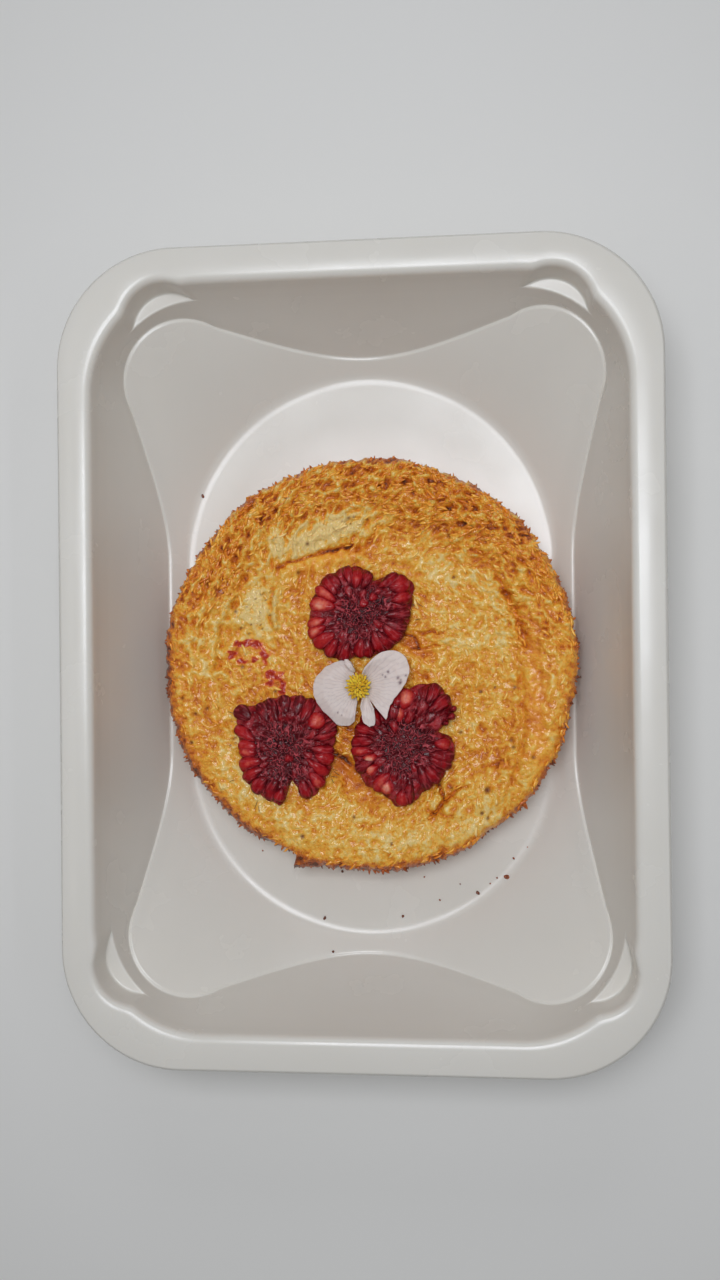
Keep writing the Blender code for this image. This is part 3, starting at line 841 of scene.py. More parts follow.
# Crumb of 1 mm and fine skin of half a millimetre.
crumb = add(
    tree,
    "ShaderNodeTexNoise",
    inputs={"Vector": place, "Scale": 1 / 0.001, "Detail": 3.0, "Roughness": 0.65},
)
skin = add(
    tree,
    "ShaderNodeTexNoise",
    inputs={"Vector": place, "Scale": 1 / 0.0005, "Detail": 2.0, "Distortion": 1.2},
)
spread = add(
    tree,
    "ShaderNodeMapRange",
    {"clamp": False},
    {"Value": crumb.outputs["Fac"], "From Min": 0.3, "From Max": 0.7, "To Min": -0.19, "To Max": 0.19},
)
# Where the skin was pulled smooth its crumb is only half as strong.
crumbly = add(tree, "ShaderNodeMapRange", inputs={"Value": pulled, "To Min": 1.0, "To Max": 0.5})
speckled = add(
    tree,
    "ShaderNodeMath",
    {"operation": "MULTIPLY_ADD"},
    {0: spread.outputs["Result"], 1: crumbly.outputs["Result"], 2: baked},
)
# Raised parts are painted paler and hollows darker: painted highlight and painted shade.
tone_with_painted_light = add(
    tree, "ShaderNodeMath", {"operation": "MULTIPLY_ADD"}, {0: relief_light_and_shade, 1: -0.68, 2: speckled.outputs[0]}
)
colour = add(tree, "ShaderNodeValToRGB", inputs={"Fac": tone_with_painted_light.outputs[0]})


def set_stops(node, stops):
    """Gives a colour ramp these (position, hex colour) stops."""
    ramp_stops = node.color_ramp.elements
    while len(ramp_stops) < len(stops):
        ramp_stops.new(0.5)
    for stop, (position, code) in zip(ramp_stops, stops):
        stop.position = position
        stop.color = rgb(code)


CRUST_TONES = (
    (0.0, "FFDA8C"), (0.12, "FFCB60"), (0.26, "FBB53A"), (0.42, "F09A22"), (0.58, "E07E16"),
    (0.74, "C4600E"), (0.88, "9C460A"), (1.0, "642C0A"),
)
set_stops(colour, CRUST_TONES)
# Pin holes are painted dark brown: painted shade inside the holes.
pit_painted_shade = add(
    tree, "ShaderNodeMix", {"data_type": "RGBA"}, {0: pitted, 6: colour.outputs["Color"], 7: rgb("7A3A12")}
)
# Juice spreads as an orange stain and stays red where a drop has dried.
stain = add(tree, "ShaderNodeMapRange", inputs={"Value": stained, "From Min": 0.03, "From Max": 0.3})
drop = add(tree, "ShaderNodeMapRange", inputs={"Value": stained, "From Min": 0.2, "From Max": 0.5})
in_stain = add(
    tree,
    "ShaderNodeMix",
    {"data_type": "RGBA"},
    {0: stain.outputs["Result"], 6: pit_painted_shade.outputs[2], 7: rgb("F47028")},
)
in_juice = add(
    tree,
    "ShaderNodeMix",
    {"data_type": "RGBA"},
    {0: drop.outputs["Result"], 6: in_stain.outputs[2], 7: rgb("BE2404")},
)
tree.links.new(in_juice.outputs[2], shader.inputs["Base Color"])
buttered = add(
    tree,
    "ShaderNodeMapRange",
    inputs={
        "Value": crumb.outputs["Fac"], "From Min": 0.35, "From Max": 0.65, "To Min": 0.46, "To Max": 0.2
    },
)
tree.links.new(buttered.outputs["Result"], shader.inputs["Roughness"])
both = add(
    tree,
    "ShaderNodeMath",
    {"operation": "MULTIPLY_ADD"},
    {0: crumb.outputs["Fac"], 1: 1.6, 2: skin.outputs["Fac"]},
)
kept = add(
    tree,
    "ShaderNodeMath",
    {"operation": "MULTIPLY"},
    {0: both.outputs[0], 1: crumbly.outputs["Result"]},
)
relief_node = add(
    tree, "ShaderNodeBump", inputs={"Height": kept.outputs[0], "Strength": 1.0, "Distance": 0.00038}
)
tree.links.new(relief_node.outputs["Normal"], shader.inputs["Normal"])
print(egg_crust.name, "has", len(tree.nodes), "nodes")

# %% Souffle: the piece
souffle = make_piece(
    "souffle_crust",
    np.vstack(rows),
    faces,
    egg_crust,
    {
        "browning": np.append(browning, side_browning),
        "relief": np.append(relief, side_relief_shade),
        "pit": np.append(hole, blank),
        "juice": np.append(juice, blank),
        "soft": np.append(soft, blank),
    },
)
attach(souffle, "root")
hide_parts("souffle")

# %% [markdown]
# ## Small things in numbers
# Drupelets, anthers, hairs, flakes and crumbs are each one small shape that comes back many times.
# Geometry Nodes do that well: a point carries how its copy is turned and scaled, Instance on Points
# puts the copies there, and Realize Instances makes them real. A little noise along the normals after
# that makes no two alike. The result is then kept as a plain mesh.

# %% Scatter with Geometry Nodes
SCATTER_SEED = 7.0


def scatter(name, points, turn, size, marks, shape_piece, material, sizes, unevenness=0.0, grain=0.001):
    """Copies of one shaped piece on points in mm.

    The turns are angles in radians, and each size is a share of the named sizes in mm. The marks are
    numbers for the material. Unevenness is the height of the swells on each copy in mm, and grain is
    their width in metres.
    """
    guide = bpy.data.meshes.new(name + "_points")
    guide.from_pydata((np.asarray(points, float) * MM).tolist(), [], [])
    for label, values in (("turn", turn), ("size", size)):
        flat = np.ascontiguousarray(values, np.float32).ravel()
        guide.attributes.new(label, "FLOAT_VECTOR", "POINT").data.foreach_set("vector", flat)
    keep_numbers(guide, marks)
    host = bpy.data.objects.new(name + "_points", guide)
    scene.collection.objects.link(host)

    tree = bpy.data.node_groups.new(name, "GeometryNodeTree")
    tree.interface.new_socket("Points", in_out="INPUT", socket_type="NodeSocketGeometry")
    tree.interface.new_socket("Pieces", in_out="OUTPUT", socket_type="NodeSocketGeometry")
    values = {**sizes, "Unevenness": unevenness * MM, "Seed": SCATTER_SEED}
    for label in values:
        tree.interface.new_socket(label, in_out="INPUT", socket_type="NodeSocketFloat")
    given = add(tree, "NodeGroupInput").outputs
    piece = shape_piece(tree)
    own_turn = add(tree, "GeometryNodeInputNamedAttribute", {"data_type": "FLOAT_VECTOR"}, {"Name": "turn"})
    own_size = add(tree, "GeometryNodeInputNamedAttribute", {"data_type": "FLOAT_VECTOR"}, {"Name": "size"})
    rotation = add(tree, "FunctionNodeEulerToRotation", inputs={"Euler": own_turn.outputs["Attribute"]})
    lengths = [given[label] for label in list(sizes)[:3]]
    whole = add(tree, "ShaderNodeCombineXYZ", inputs=dict(zip("XYZ", lengths)))
    scaled = add(
        tree,
        "ShaderNodeVectorMath",
        {"operation": "MULTIPLY"},
        {0: own_size.outputs["Attribute"], 1: whole.outputs[0]},
    )
    # The shaped piece has a radius of 1, so half of the length in metres is its scale.
    metres = add(
        tree, "ShaderNodeVectorMath", {"operation": "SCALE"}, {0: scaled.outputs[0], "Scale": MM / 2}
    )
    copies = add(
        tree,
        "GeometryNodeInstanceOnPoints",
        inputs={
            "Points": given["Points"],
            "Instance": piece,
            "Rotation": rotation.outputs[0],
            "Scale": metres.outputs[0],
        },
    )
    real = add(tree, "GeometryNodeRealizeInstances", inputs={"Geometry": copies.outputs[0]})
    lumps = add(
        tree,
        "ShaderNodeTexNoise",
        {"noise_dimensions": "4D"},
        {
            "Vector": add(tree, "GeometryNodeInputPosition").outputs[0],
            "W": given["Seed"],
            "Scale": 1 / grain,
        },
    )
    centred = add(tree, "ShaderNodeMath", {"operation": "SUBTRACT"}, {0: lumps.outputs["Fac"], 1: 0.5})
    amount = add(
        tree,
        "ShaderNodeMath",
        {"operation": "MULTIPLY"},
        {0: centred.outputs[0], 1: given["Unevenness"]},
    )
    push = add(
        tree,
        "ShaderNodeVectorMath",
        {"operation": "SCALE"},
        {0: add(tree, "GeometryNodeInputNormal").outputs[0], "Scale": amount.outputs[0]},
    )
    uneven = add(
        tree, "GeometryNodeSetPosition", inputs={"Geometry": real.outputs[0], "Offset": push.outputs[0]}
    )
    smooth = add(
        tree, "GeometryNodeSetShadeSmooth", inputs={"Geometry": uneven.outputs[0], "Shade Smooth": True}
    )
    finish = add(
        tree, "GeometryNodeSetMaterial", inputs={"Geometry": smooth.outputs[0], "Material": material}
    )
    add(tree, "NodeGroupOutput", inputs={0: finish.outputs[0]})

    maker = host.modifiers.new(name, "NODES")
    maker.node_group = tree
    for socket in tree.interface.items_tree:
        if socket.name in values:
            maker[socket.identifier] = values[socket.name]
    mesh = plain_mesh(host)
    bpy.data.objects.remove(host, do_unlink=True)
    mesh.name = name
    made = bpy.data.objects.new(name, mesh)
    scene.collection.objects.link(made)
    print(f"{name}: {len(points)} copies, {triangle_count(mesh)} triangles")
    return made


def rounded_lump(segments, rings, bend=0.0, taper=0.0):
    """A builder of a round piece of radius 1: bend curves it sideways, taper narrows its near end."""

    def shape(tree):
        ball = add(
            tree,
            "GeometryNodeMeshUVSphere",
            inputs={"Segments": segments, "Rings": rings, "Radius": 1.0},
        )
        place = add(
            tree, "ShaderNodeSeparateXYZ", inputs={0: add(tree, "GeometryNodeInputPosition").outputs[0]}
        )
        stored = ball.outputs["Mesh"]
        for label, axis in (("along", "X"), ("across", "Y")):
            stored = add(
                tree,
                "GeometryNodeStoreNamedAttribute",
                {"data_type": "FLOAT", "domain": "POINT"},
                {"Geometry": stored, "Name": label, "Value": place.outputs[axis]},
            ).outputs[0]
        wider = add(
            tree,
            "ShaderNodeMath",
            {"operation": "MULTIPLY_ADD"},
            {0: place.outputs["X"], 1: taper, 2: 1.0},
        )
        squared = add(
            tree,
            "ShaderNodeMath",
            {"operation": "MULTIPLY"},
            {0: place.outputs["X"], 1: place.outputs["X"]},
        )
        aside = add(tree, "ShaderNodeMath", {"operation": "MULTIPLY"}, {0: squared.outputs[0], 1: bend})
        new_y = add(
            tree,
            "ShaderNodeMath",
            {"operation": "MULTIPLY_ADD"},
            {0: place.outputs["Y"], 1: wider.outputs[0], 2: aside.outputs[0]},
        )
        moved = add(
            tree,
            "ShaderNodeCombineXYZ",
            inputs={"X": place.outputs["X"], "Y": new_y.outputs[0], "Z": place.outputs["Z"]},
        )
        return add(
            tree, "GeometryNodeSetPosition", inputs={"Geometry": stored, "Position": moved.outputs[0]}
        ).outputs[0]

    return shape


def chance(count, seed):
    """A fixed row of numbers from 0 to 1."""
    return scramble(np.arange(count), np.arange(count) * 3 + 1, seed)


print("four chances:", chance(4, 5).round(2))

# %% [markdown]
# ### Torn flakes, teeth and crumbs
# The browned skin is covered with short curled flakes of dried egg, and the edge ends in a fringe of
# dark, crisp teeth. Both are copies of one small bent lump, laid along the way that the skin has
# shrunk. A few toasted crumbs have fallen on the tray.

# %% Toasted flakes and crumbs: material
toasted, tree, shader = start_material(
    "toasted crumb",
    {
        "IOR": 1.45,
        "Subsurface Weight": 0.1,
        "Subsurface Scale": 0.0006,
        "Coat Weight": 0.5,
        "Coat Roughness": 0.15,
    },
)
place = add(tree, "ShaderNodeTexCoord").outputs["Object"]
baked = add(tree, "ShaderNodeAttribute", {"attribute_name": "browning"}).outputs["Fac"]
fleck = add(tree, "ShaderNodeTexNoise", inputs={"Vector": place, "Scale": 1 / 0.0006, "Detail": 2.0})
spread = add(
    tree, "ShaderNodeMath", {"operation": "MULTIPLY_ADD"}, {0: fleck.outputs["Fac"], 1: 0.5, 2: baked}
)
level = add(tree, "ShaderNodeMath", {"operation": "SUBTRACT"}, {0: spread.outputs[0], 1: 0.25})
colour = add(tree, "ShaderNodeValToRGB", inputs={"Fac": level.outputs[0]})
set_stops(colour, CRUST_TONES)
tree.links.new(colour.outputs["Color"], shader.inputs["Base Color"])
dry = add(
    tree,
    "ShaderNodeMapRange",
    inputs={"Value": fleck.outputs["Fac"], "From Min": 0.3, "From Max": 0.7, "To Min": 0.3, "To Max": 0.55},
)
tree.links.new(dry.outputs["Result"], shader.inputs["Roughness"])
grit = add(
    tree, "ShaderNodeBump", inputs={"Height": fleck.outputs["Fac"], "Strength": 0.5, "Distance": 0.0001}
)
tree.links.new(grit.outputs["Normal"], shader.inputs["Normal"])
print(toasted.name, "has", len(tree.nodes), "nodes")


# %% Curled flakes of dried skin
def cake_surface(x, y):
    """The height of the finished crust over points, and what crust() tells about them besides the lift."""
    plain = np.hypot(x - CAKE_CENTRE[0], y - CAKE_CENTRE[1])
    lift, *masks = crust(x, y)
    return np.interp(plain, section_radius, section_height) + lift, masks


# Flakes are tried at even density out to this radius and kept where the crust is brown and raised.
TRIES, FLAKED_RADIUS = 15000, 49.3
radius = FLAKED_RADIUS * np.sqrt(chance(TRIES, 61))
turn = 2 * np.pi * chance(TRIES, 62)
x, y = from_centre(CAKE_CENTRE, radius, turn)
z, (browning, relief, _, juice, soft) = cake_surface(x, y)
wanted = 0.05 + 0.42 * ramp(browning, 0.47, 0.62) - 0.6 * soft - juice
kept = (chance(TRIES, 63) < wanted) & (relief > -0.05)
x, y, z, turn, browning = x[kept], y[kept], z[kept], turn[kept], browning[kept]
count = len(x)
flow = skin_flow(x, y, turn, 0.7) + (chance(count, 64) - 0.5) * 1.5
# Half of them point the other way.
flow = flow + np.pi * (chance(count, 60) > 0.5)
tilt = (np.stack([chance(count, 65), chance(count, 66)], -1) - 0.5) * 0.5
long_ones = chance(count, 67) ** 2
flake_width = 0.7 + 0.5 * chance(count, 68) + 0.4 * long_ones
flake_size = np.stack([0.6 + 1.1 * long_ones, flake_width, 0.6 + 0.8 * chance(count, 69)], -1)
flakes = scatter(
    "skin_flakes",
    np.stack([x, y, z + 0.02], -1),
    np.stack([tilt[:, 0], tilt[:, 1], flow], -1),
    flake_size,
    {"browning": browning - 0.36 + 0.30 * chance(count, 70)},
    rounded_lump(6, 4, bend=0.9),
    toasted,
    {"Length": 2.0, "Width": 0.5, "Thickness": 0.5},
    unevenness=0.10,
    grain=0.0006,
)
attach(flakes, "root")

# %% [markdown]
# Where the edge was torn from its mould the skin ends in teeth that point outwards and down. They
# stand about half a millimetre apart, each turned and sized a little differently.

# %% Crisp teeth along the edge
TEETH, TOOTH_RADIUS, TOOTH_Z = 620, 50.1, 13.0
turn = 2 * np.pi * (np.arange(TEETH) + 0.9 * chance(TEETH, 71)) / TEETH
drop = 3.4 * chance(TEETH, 72) ** 1.5
out = TOOTH_RADIUS * cake_outline(turn) - torn_step(turn) + edge_teeth(turn) * 0.9 - 0.35 * drop**0.5
lean = 0.15 + 0.5 * chance(TEETH, 73)
tooth_length = 0.55 + 0.9 * chance(TEETH, 74) ** 1.6
tooth_size = np.stack([tooth_length, 0.6 + 0.8 * chance(TEETH, 75), 0.6 + 0.7 * chance(TEETH, 76)], -1)
teeth = scatter(
    "edge_teeth",
    np.stack([*from_centre(CAKE_CENTRE, out, turn), TOOTH_Z - drop], -1),
    np.stack([0 * turn, lean, turn + (chance(TEETH, 77) - 0.5) * 1.1], -1),
    tooth_size,
    {"browning": 0.66 + 0.34 * chance(TEETH, 78) - 0.14 * ramp(np.sin(turn), 0.2, 0.8)},
    rounded_lump(7, 5, bend=0.3, taper=-0.45),
    toasted,
    {"Length": 2.0, "Width": 0.75, "Thickness": 0.7},
    unevenness=0.3,
    grain=0.0007,
)
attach(teeth, "root")

# %% [markdown]
# Crumbs break off when the cake is turned out, so most lie on the near ramp and one has rolled away.
# They are toasted through, hence dark, and lumpy rather than flat.

# %% Crumbs on the tray
# x, y, size in mm.
FALLEN = (
    (33.7, -55.6, 1.2), (26.4, -59.7, 0.7), (31.2, -55.9, 0.45), (7.6, -65.7, 0.6), (16.9, -61.6, 0.4),
    (-12.2, -66.4, 0.65), (-9.7, -73.9, 0.6), (-42.6, 41.2, 0.75), (-7.6, -54.6, 0.55), (35.4, -51.0, 0.5),
    (29.5, -57.3, 0.35), (22.0, -57.5, 0.3), (38.9, -48.2, 0.4), (-28.0, -49.5, 0.3), (13.1, -55.8, 0.35),
)
x, y, across = np.array(FALLEN).T
z = ramp_height(x, y) + across * 0.3
count = len(FALLEN)
crumbs = scatter(
    "fallen_crumbs",
    np.stack([x, y, z], -1),
    np.stack([chance(count, 81) * 3, chance(count, 82) * 3, chance(count, 83) * 6], -1),
    np.stack([across, across * (0.6 + 0.3 * chance(count, 84)), across * 0.7], -1),
    {"browning": 0.85 + 0.2 * chance(count, 85)},
    rounded_lump(9, 6, bend=0.2, taper=0.2),
    toasted,
    {"Length": 1.6, "Width": 1.5, "Thickness": 1.4},
    unevenness=0.35,
    grain=0.0004,
)
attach(crumbs, "root")

# %% [markdown]
# ## The raspberries, torn open
# A raspberry is a hollow cap of little fruits, called drupelets. Pulled open and pressed flat with the
# inside up, it shows the plucked core as a fine wrinkled net, and round it the drupelets lying out
# like petals, each a wet bag of juice. The flesh with its net is a height map again; the drupelets are
# copies of one rounded lump, longer than wide, placed side by side along the torn outline.

# %% Raspberry flesh: material
raspberry, tree, shader = start_material(
    "wet raspberry flesh",
    {
        "IOR": 1.36,
        "Subsurface Weight": 0.30,
        "Subsurface Scale": 0.0014,
        "Subsurface Radius": (1.0, 0.22, 0.18),
        "Coat Weight": 0.2,
        "Specular IOR Level": 0.38,
        "Coat Roughness": 0.08,
        "Coat IOR": 1.36,
    },
)
place = add(tree, "ShaderNodeTexCoord").outputs["Object"]
tone = add(tree, "ShaderNodeAttribute", {"attribute_name": "tone"}).outputs["Fac"]
seam = add(tree, "ShaderNodeAttribute", {"attribute_name": "seam"}).outputs["Fac"]
along = add(tree, "ShaderNodeAttribute", {"attribute_name": "along"}).outputs["Fac"]
across = add(tree, "ShaderNodeAttribute", {"attribute_name": "across"}).outputs["Fac"]
cloudy = add(tree, "ShaderNodeTexNoise", inputs={"Vector": place, "Scale": 1 / 0.0016, "Detail": 2.0})
shifted = add(
    tree, "ShaderNodeMath", {"operation": "MULTIPLY_ADD"}, {0: cloudy.outputs["Fac"], 1: 0.5, 2: tone}
)
# Each drupelet is painted brightest on its crown and darker to its sides: a painted highlight on the crown
# and painted shade towards the grooves between drupelets.
lengthwise = add(tree, "ShaderNodeMath", {"operation": "MULTIPLY"}, {0: along, 1: along})
sideways = add(
    tree, "ShaderNodeMath", {"operation": "MULTIPLY_ADD"}, {0: across, 1: across, 2: lengthwise.outputs[0]}
)
crown_to_side_shade = add(tree, "ShaderNodeMath", {"operation": "MULTIPLY"}, {0: sideways.outputs[0], 1: tone})
darker = add(
    tree,
    "ShaderNodeMath",
    {"operation": "MULTIPLY_ADD"},
    {0: crown_to_side_shade.outputs[0], 1: -0.55, 2: shifted.outputs[0]},
)
level = add(tree, "ShaderNodeMath", {"operation": "SUBTRACT"}, {0: darker.outputs[0], 1: 0.22})
flesh = add(tree, "ShaderNodeValToRGB", inputs={"Fac": level.outputs[0]})
JUICE_TONES = (
    (0.0, "2E020A"), (0.3, "660410"), (0.5, "9C0A16"), (0.7, "B42022"), (0.88, "DC6450"), (1.0, "EA9A80"),
)
set_stops(flesh, JUICE_TONES)
# Veins run the length of a drupelet, about 0.4 mm apart.
stretched = add(tree, "ShaderNodeCombineXYZ", inputs={"X": along, "Y": across, "Z": tone})
squeezed = add(
    tree, "ShaderNodeVectorMath", {"operation": "MULTIPLY"}, {0: stretched.outputs[0], 1: (1.1, 4.5, 9.0)}
)
vein = add(tree, "ShaderNodeTexNoise", inputs={"Vector": squeezed.outputs[0], "Scale": 1.0, "Detail": 1.0})
thin_vein = add(
    tree,
    "ShaderNodeMapRange",
    inputs={
        "Value": vein.outputs["Fac"], "From Min": 0.55, "From Max": 0.61, "To Min": 0.0, "To Max": 0.35
    },
)
pale = add(tree, "ShaderNodeMath", {"operation": "MAXIMUM"}, {0: seam, 1: thin_vein.outputs["Result"]})
drawn = add(
    tree,
    "ShaderNodeMix",
    {"data_type": "RGBA"},
    {0: pale.outputs[0], 6: flesh.outputs["Color"], 7: rgb("C8545C")},
)
tree.links.new(drawn.outputs[2], shader.inputs["Base Color"])
wet = add(
    tree,
    "ShaderNodeMapRange",
    inputs={
        "Value": cloudy.outputs["Fac"],
        "From Min": 0.35,
        "From Max": 0.65,
        "To Min": 0.22,
        "To Max": 0.45,
    },
)
tree.links.new(wet.outputs["Result"], shader.inputs["Roughness"])
dimple = add(tree, "ShaderNodeTexNoise", inputs={"Vector": place, "Scale": 1 / 0.0007, "Detail": 2.0})
relief_node = add(
    tree,
    "ShaderNodeBump",
    inputs={"Height": dimple.outputs["Fac"], "Strength": 0.6, "Distance": 0.00025},
)
tree.links.new(relief_node.outputs["Normal"], shader.inputs["Normal"])
print(raspberry.name, "has", len(tree.nodes), "nodes")

# %% [markdown]
# Each berry tore in its own way, so its outline is measured: how far the flesh reaches in twelve
# directions, where the tear pinches it, and which drupelets are larger, paler or out of line.

# %% Raspberry outlines
# Each berry has its centre, the flesh's reach every 30 degrees from +X, the tear and the corners
# (angle, depth, half width), the plucked core (x, y, reach), a stretch of the edge that was pressed
# smooth, single drupelets that stand out (angle, distance in from the edge, length, width, ripeness)
# and the ripeness at some angles.
BERRIES = {
    "raspberry_back": {
        "centre": (-1.0, 10.4),
        "reach": (12.1, 14.5, 12.0, 11.2, 11.9, 12.2, 12.4, 13.8, 13.0, 10.8, 11.3, 11.7),
        "tear": (66, 3.4, 13),
        "corners": (),
        "core": (0.8, -1.2, 7.0),
        "smooth": (),
        "special": (
            (33, 3.0, 5.2, 4.6, 0.62), (95, 3.2, 5.0, 3.4, 0.66),
            (68, 6.2, 2.6, 2.4, 0.6), (48, 7.6, 2.4, 2.2, 0.55),
            (18, 3.2, 5.4, 3.4, 0.6),
        ),
        "ripe": ((150, 0.85), (166, 0.95), (182, 0.92), (198, 0.88), (214, 0.7)),
    },
    "raspberry_left": {
        "centre": (-19.2, -22.6),
        "reach": (11.5, 13.5, 13.8, 13.1, 13.2, 14.2, 11.3, 12.4, 12.8, 12.6, 13.0, 11.7),
        "tear": (279, 5.2, 9),
        "corners": ((139, -2.0, 7), (262, -1.2, 6)),
        "core": (-0.8, -0.8, 7.4),
        "smooth": (70, 150),
        "special": ((43, 3.6, 4.6, 4.4, 0.86), (283, 6.4, 2.4, 2.2, 0.5), (262, 3.0, 3.6, 3.2, 0.55)),
        "ripe": (
            (165, 0.62), (180, 0.75), (196, 0.74), (212, 0.6), (312, 0.74), (330, 0.68),
            (348, 0.66), (8, 0.6),
        ),
    },
    "raspberry_right": {
        "centre": (9.1, -21.3),
        "reach": (12.3, 14.6, 16.5, 13.2, 10.9, 12.3, 12.6, 13.0, 13.1, 14.6, 12.3, 12.4),
        "tear": (19, 4.8, 9),
        "corners": ((226, -0.9, 5), (262, -0.8, 6)),
        "core": (0.4, -0.6, 7.0),
        "smooth": (),
        "special": (
            (86, 2.6, 5.6, 4.0, 0.94), (96, 5.4, 4.8, 2.8, 0.82),
            (0, 3.0, 4.0, 3.2, 0.72), (203, 4.2, 4.0, 3.2, 0.98),
            (218, 3.6, 3.8, 3.0, 0.9), (248, 2.6, 4.0, 3.6, 0.95), (268, 2.2, 4.6, 3.2, 0.66),
            (62, 6.6, 4.8, 3.2, 0.42), (45, 6.2, 4.4, 3.0, 0.36),
            (76, 7.8, 4.2, 2.6, 0.5), (53, 9.4, 3.6, 2.4, 0.34),
            (30, 0.4, 2.2, 1.6, 0.4), (26, 0.6, 1.7, 1.3, 0.35), (35, 0.0, 2.0, 1.5, 0.35),
        ),
        "ripe": ((190, 0.7), (232, 0.75)),
    },
}


def apart(first, second):
    """The smaller angle between two directions in degrees."""
    return np.abs((first - second + 180) % 360 - 180)


def berry_reach(berry, turn):
    """The torn outline: a smooth curve through the reaches, pinched at the tear."""
    step = np.degrees(turn) % 360 / 30
    first = np.floor(step).astype(int) % 12
    ease = ramp(step - np.floor(step), 0, 1)
    reach = np.array(berry["reach"])
    smooth = reach[first] * (1 - ease) + reach[(first + 1) % 12] * ease
    for angle, depth, width in (berry["tear"], *berry["corners"]):
        smooth = smooth - depth * np.exp(-((apart(np.degrees(turn), angle) / width) ** 2))
    return smooth


def plain_top(x, y):
    """The crust's height without its roughness."""
    return np.interp(np.hypot(x - CAKE_CENTRE[0], y - CAKE_CENTRE[1]), section_radius, section_height)


# %% [markdown]
# The inside of a raspberry is a thin sheet of flesh. Where the white core was plucked away it is
# wrinkled into a net of paler ridges, fine in the middle and drawn out towards the drupelets. The
# ridges are fibres that run outwards, raised a little and given the pale colour of the seams.

# %% Raspberry flesh and its net
# Each pair is a share of the reach and a height in mm above the crust.
FLESH_SECTION = ((0, 3.0), (0.3, 3.0), (0.5, 3.1), (0.66, 3.4), (0.8, 3.3), (0.9, 2.8), (1.0, 1.7))
FLESH_SKIRT = ((1.02, 1.2), (1.0, 0.6), (0.97, 0.1), (0.9, -0.4))
FLESH_CELLS = 150


def make_flesh(name, berry, seed):
    """The flat flesh of one opened berry, draped on the crust."""
    unit_x, unit_y = disc_grid(FLESH_CELLS)
    share, turn = np.hypot(unit_x, unit_y), np.arctan2(unit_y, unit_x)
    full = berry_reach(berry, turn)
    cx, cy = berry["centre"]
    lobes = np.abs(np.sin(turn * 10.5 + 1.2 * noise(np.cos(turn) * 4, np.sin(turn) * 4, 1.7, seed)))
    reach = share * full * 0.965 + 0.5 * (lobes - 0.5) * ramp(share, 0.75, 1.0)
    x, y = from_centre((cx, cy), reach, turn)
    core_x, core_y, core_reach = berry["core"]
    from_core = np.hypot(x - cx - core_x, y - cy - core_y)
    from_core = from_core + 1.2 * noise(x, y, 3.0, seed + 1)
    outward = np.arctan2(y - cy - core_y, x - cx - core_x)
    in_core = 1 - ramp(from_core, core_reach - 1.2, core_reach + 1.6)
    bent_x, bent_y = x + 0.45 * noise(x, y, 1.3, seed + 2), y + 0.45 * noise(x, y, 1.3, seed + 3)
    pulled = 0.3 + 2.4 * ramp(from_core, 2.5, 9.0)
    net = np.abs(fibres(bent_x, bent_y, outward, pulled, 1.35, seed + 4))
    fine = np.abs(fibres(bent_x, bent_y, outward + 0.6, pulled * 0.7, 0.8, seed + 5))
    line = 1 - ramp(net, 0.02, 0.17)
    line = np.maximum(line, 0.75 * (1 - ramp(fine, 0.02, 0.15)))
    swell = 0.35 * noise(x, y, 3.2, seed + 6) + 0.25 * noise(x, y, 1.6, seed + 7)
    section = np.interp(share, *np.array(FLESH_SECTION).T)
    z = plain_top(x, y) + section + swell + 0.75 * (line - 0.4) * (0.35 + 0.65 * in_core)
    ridge = np.exp(-((from_core / core_reach) ** 2))
    z = z + 0.5 * ridge * noise(x, y, 2.2, seed + 8)
    rows = [np.stack([x, y, z], -1)]
    faces, edge = slab_faces(FLESH_CELLS, len(FLESH_SKIRT))
    for grow, lift in FLESH_SKIRT:
        wide = reach[edge] * grow
        sx, sy = from_centre((cx, cy), wide, turn[edge])
        rows.append(np.stack([sx, sy, plain_top(sx, sy) + lift], -1))
    underside = FLESH_SKIRT[-1][1]
    rows.append([[cx, cy, plain_top(cx, cy) + underside]])
    points = np.vstack(rows)
    tone = 0.10 + 0.10 * noise(x, y, 3.0, seed + 9) + 0.26 * (1 - in_core)
    pressed = 0 * turn
    if berry["smooth"]:
        start, end = berry["smooth"]
        pressed = ramp((end - start) / 2 - apart(np.degrees(turn), (start + end) / 2), 0, 8)
    seam = (1 - 0.8 * pressed * (1 - in_core)) * line * (0.2 + 0.8 * in_core)
    seam = seam * (0.75 + 0.5 * noise(x, y, 2.0, seed + 10))
    rest = len(points) - len(x)
    zero = np.zeros(len(points))
    marks = {
        "tone": np.append(tone, np.full(rest, 0.32)),
        "seam": np.append(np.clip(seam, 0, 1), np.zeros(rest)),
        "along": zero,
        "across": zero,
    }
    piece = make_piece(name + "_flesh", points, faces, raspberry, marks)
    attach(piece, "root")
    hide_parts(name)


for seed, (name, berry) in enumerate(BERRIES.items()):
    make_flesh(name, berry, 200 + 20 * seed)

# %% [markdown]
# The drupelets follow the outline about every 16 degrees, with uneven spacing and size. A few that
# were bruised have let their juice go and look salmon pink and glassy. An inner row of small ones
# closes the gap to the core. Where the outline is pinched by the tear there are none.

# %% Drupelets
DRUPELET = (5.0, 3.0, 3.0)
OUTER_DRUPELETS, INNER_DRUPELETS = 23, 19
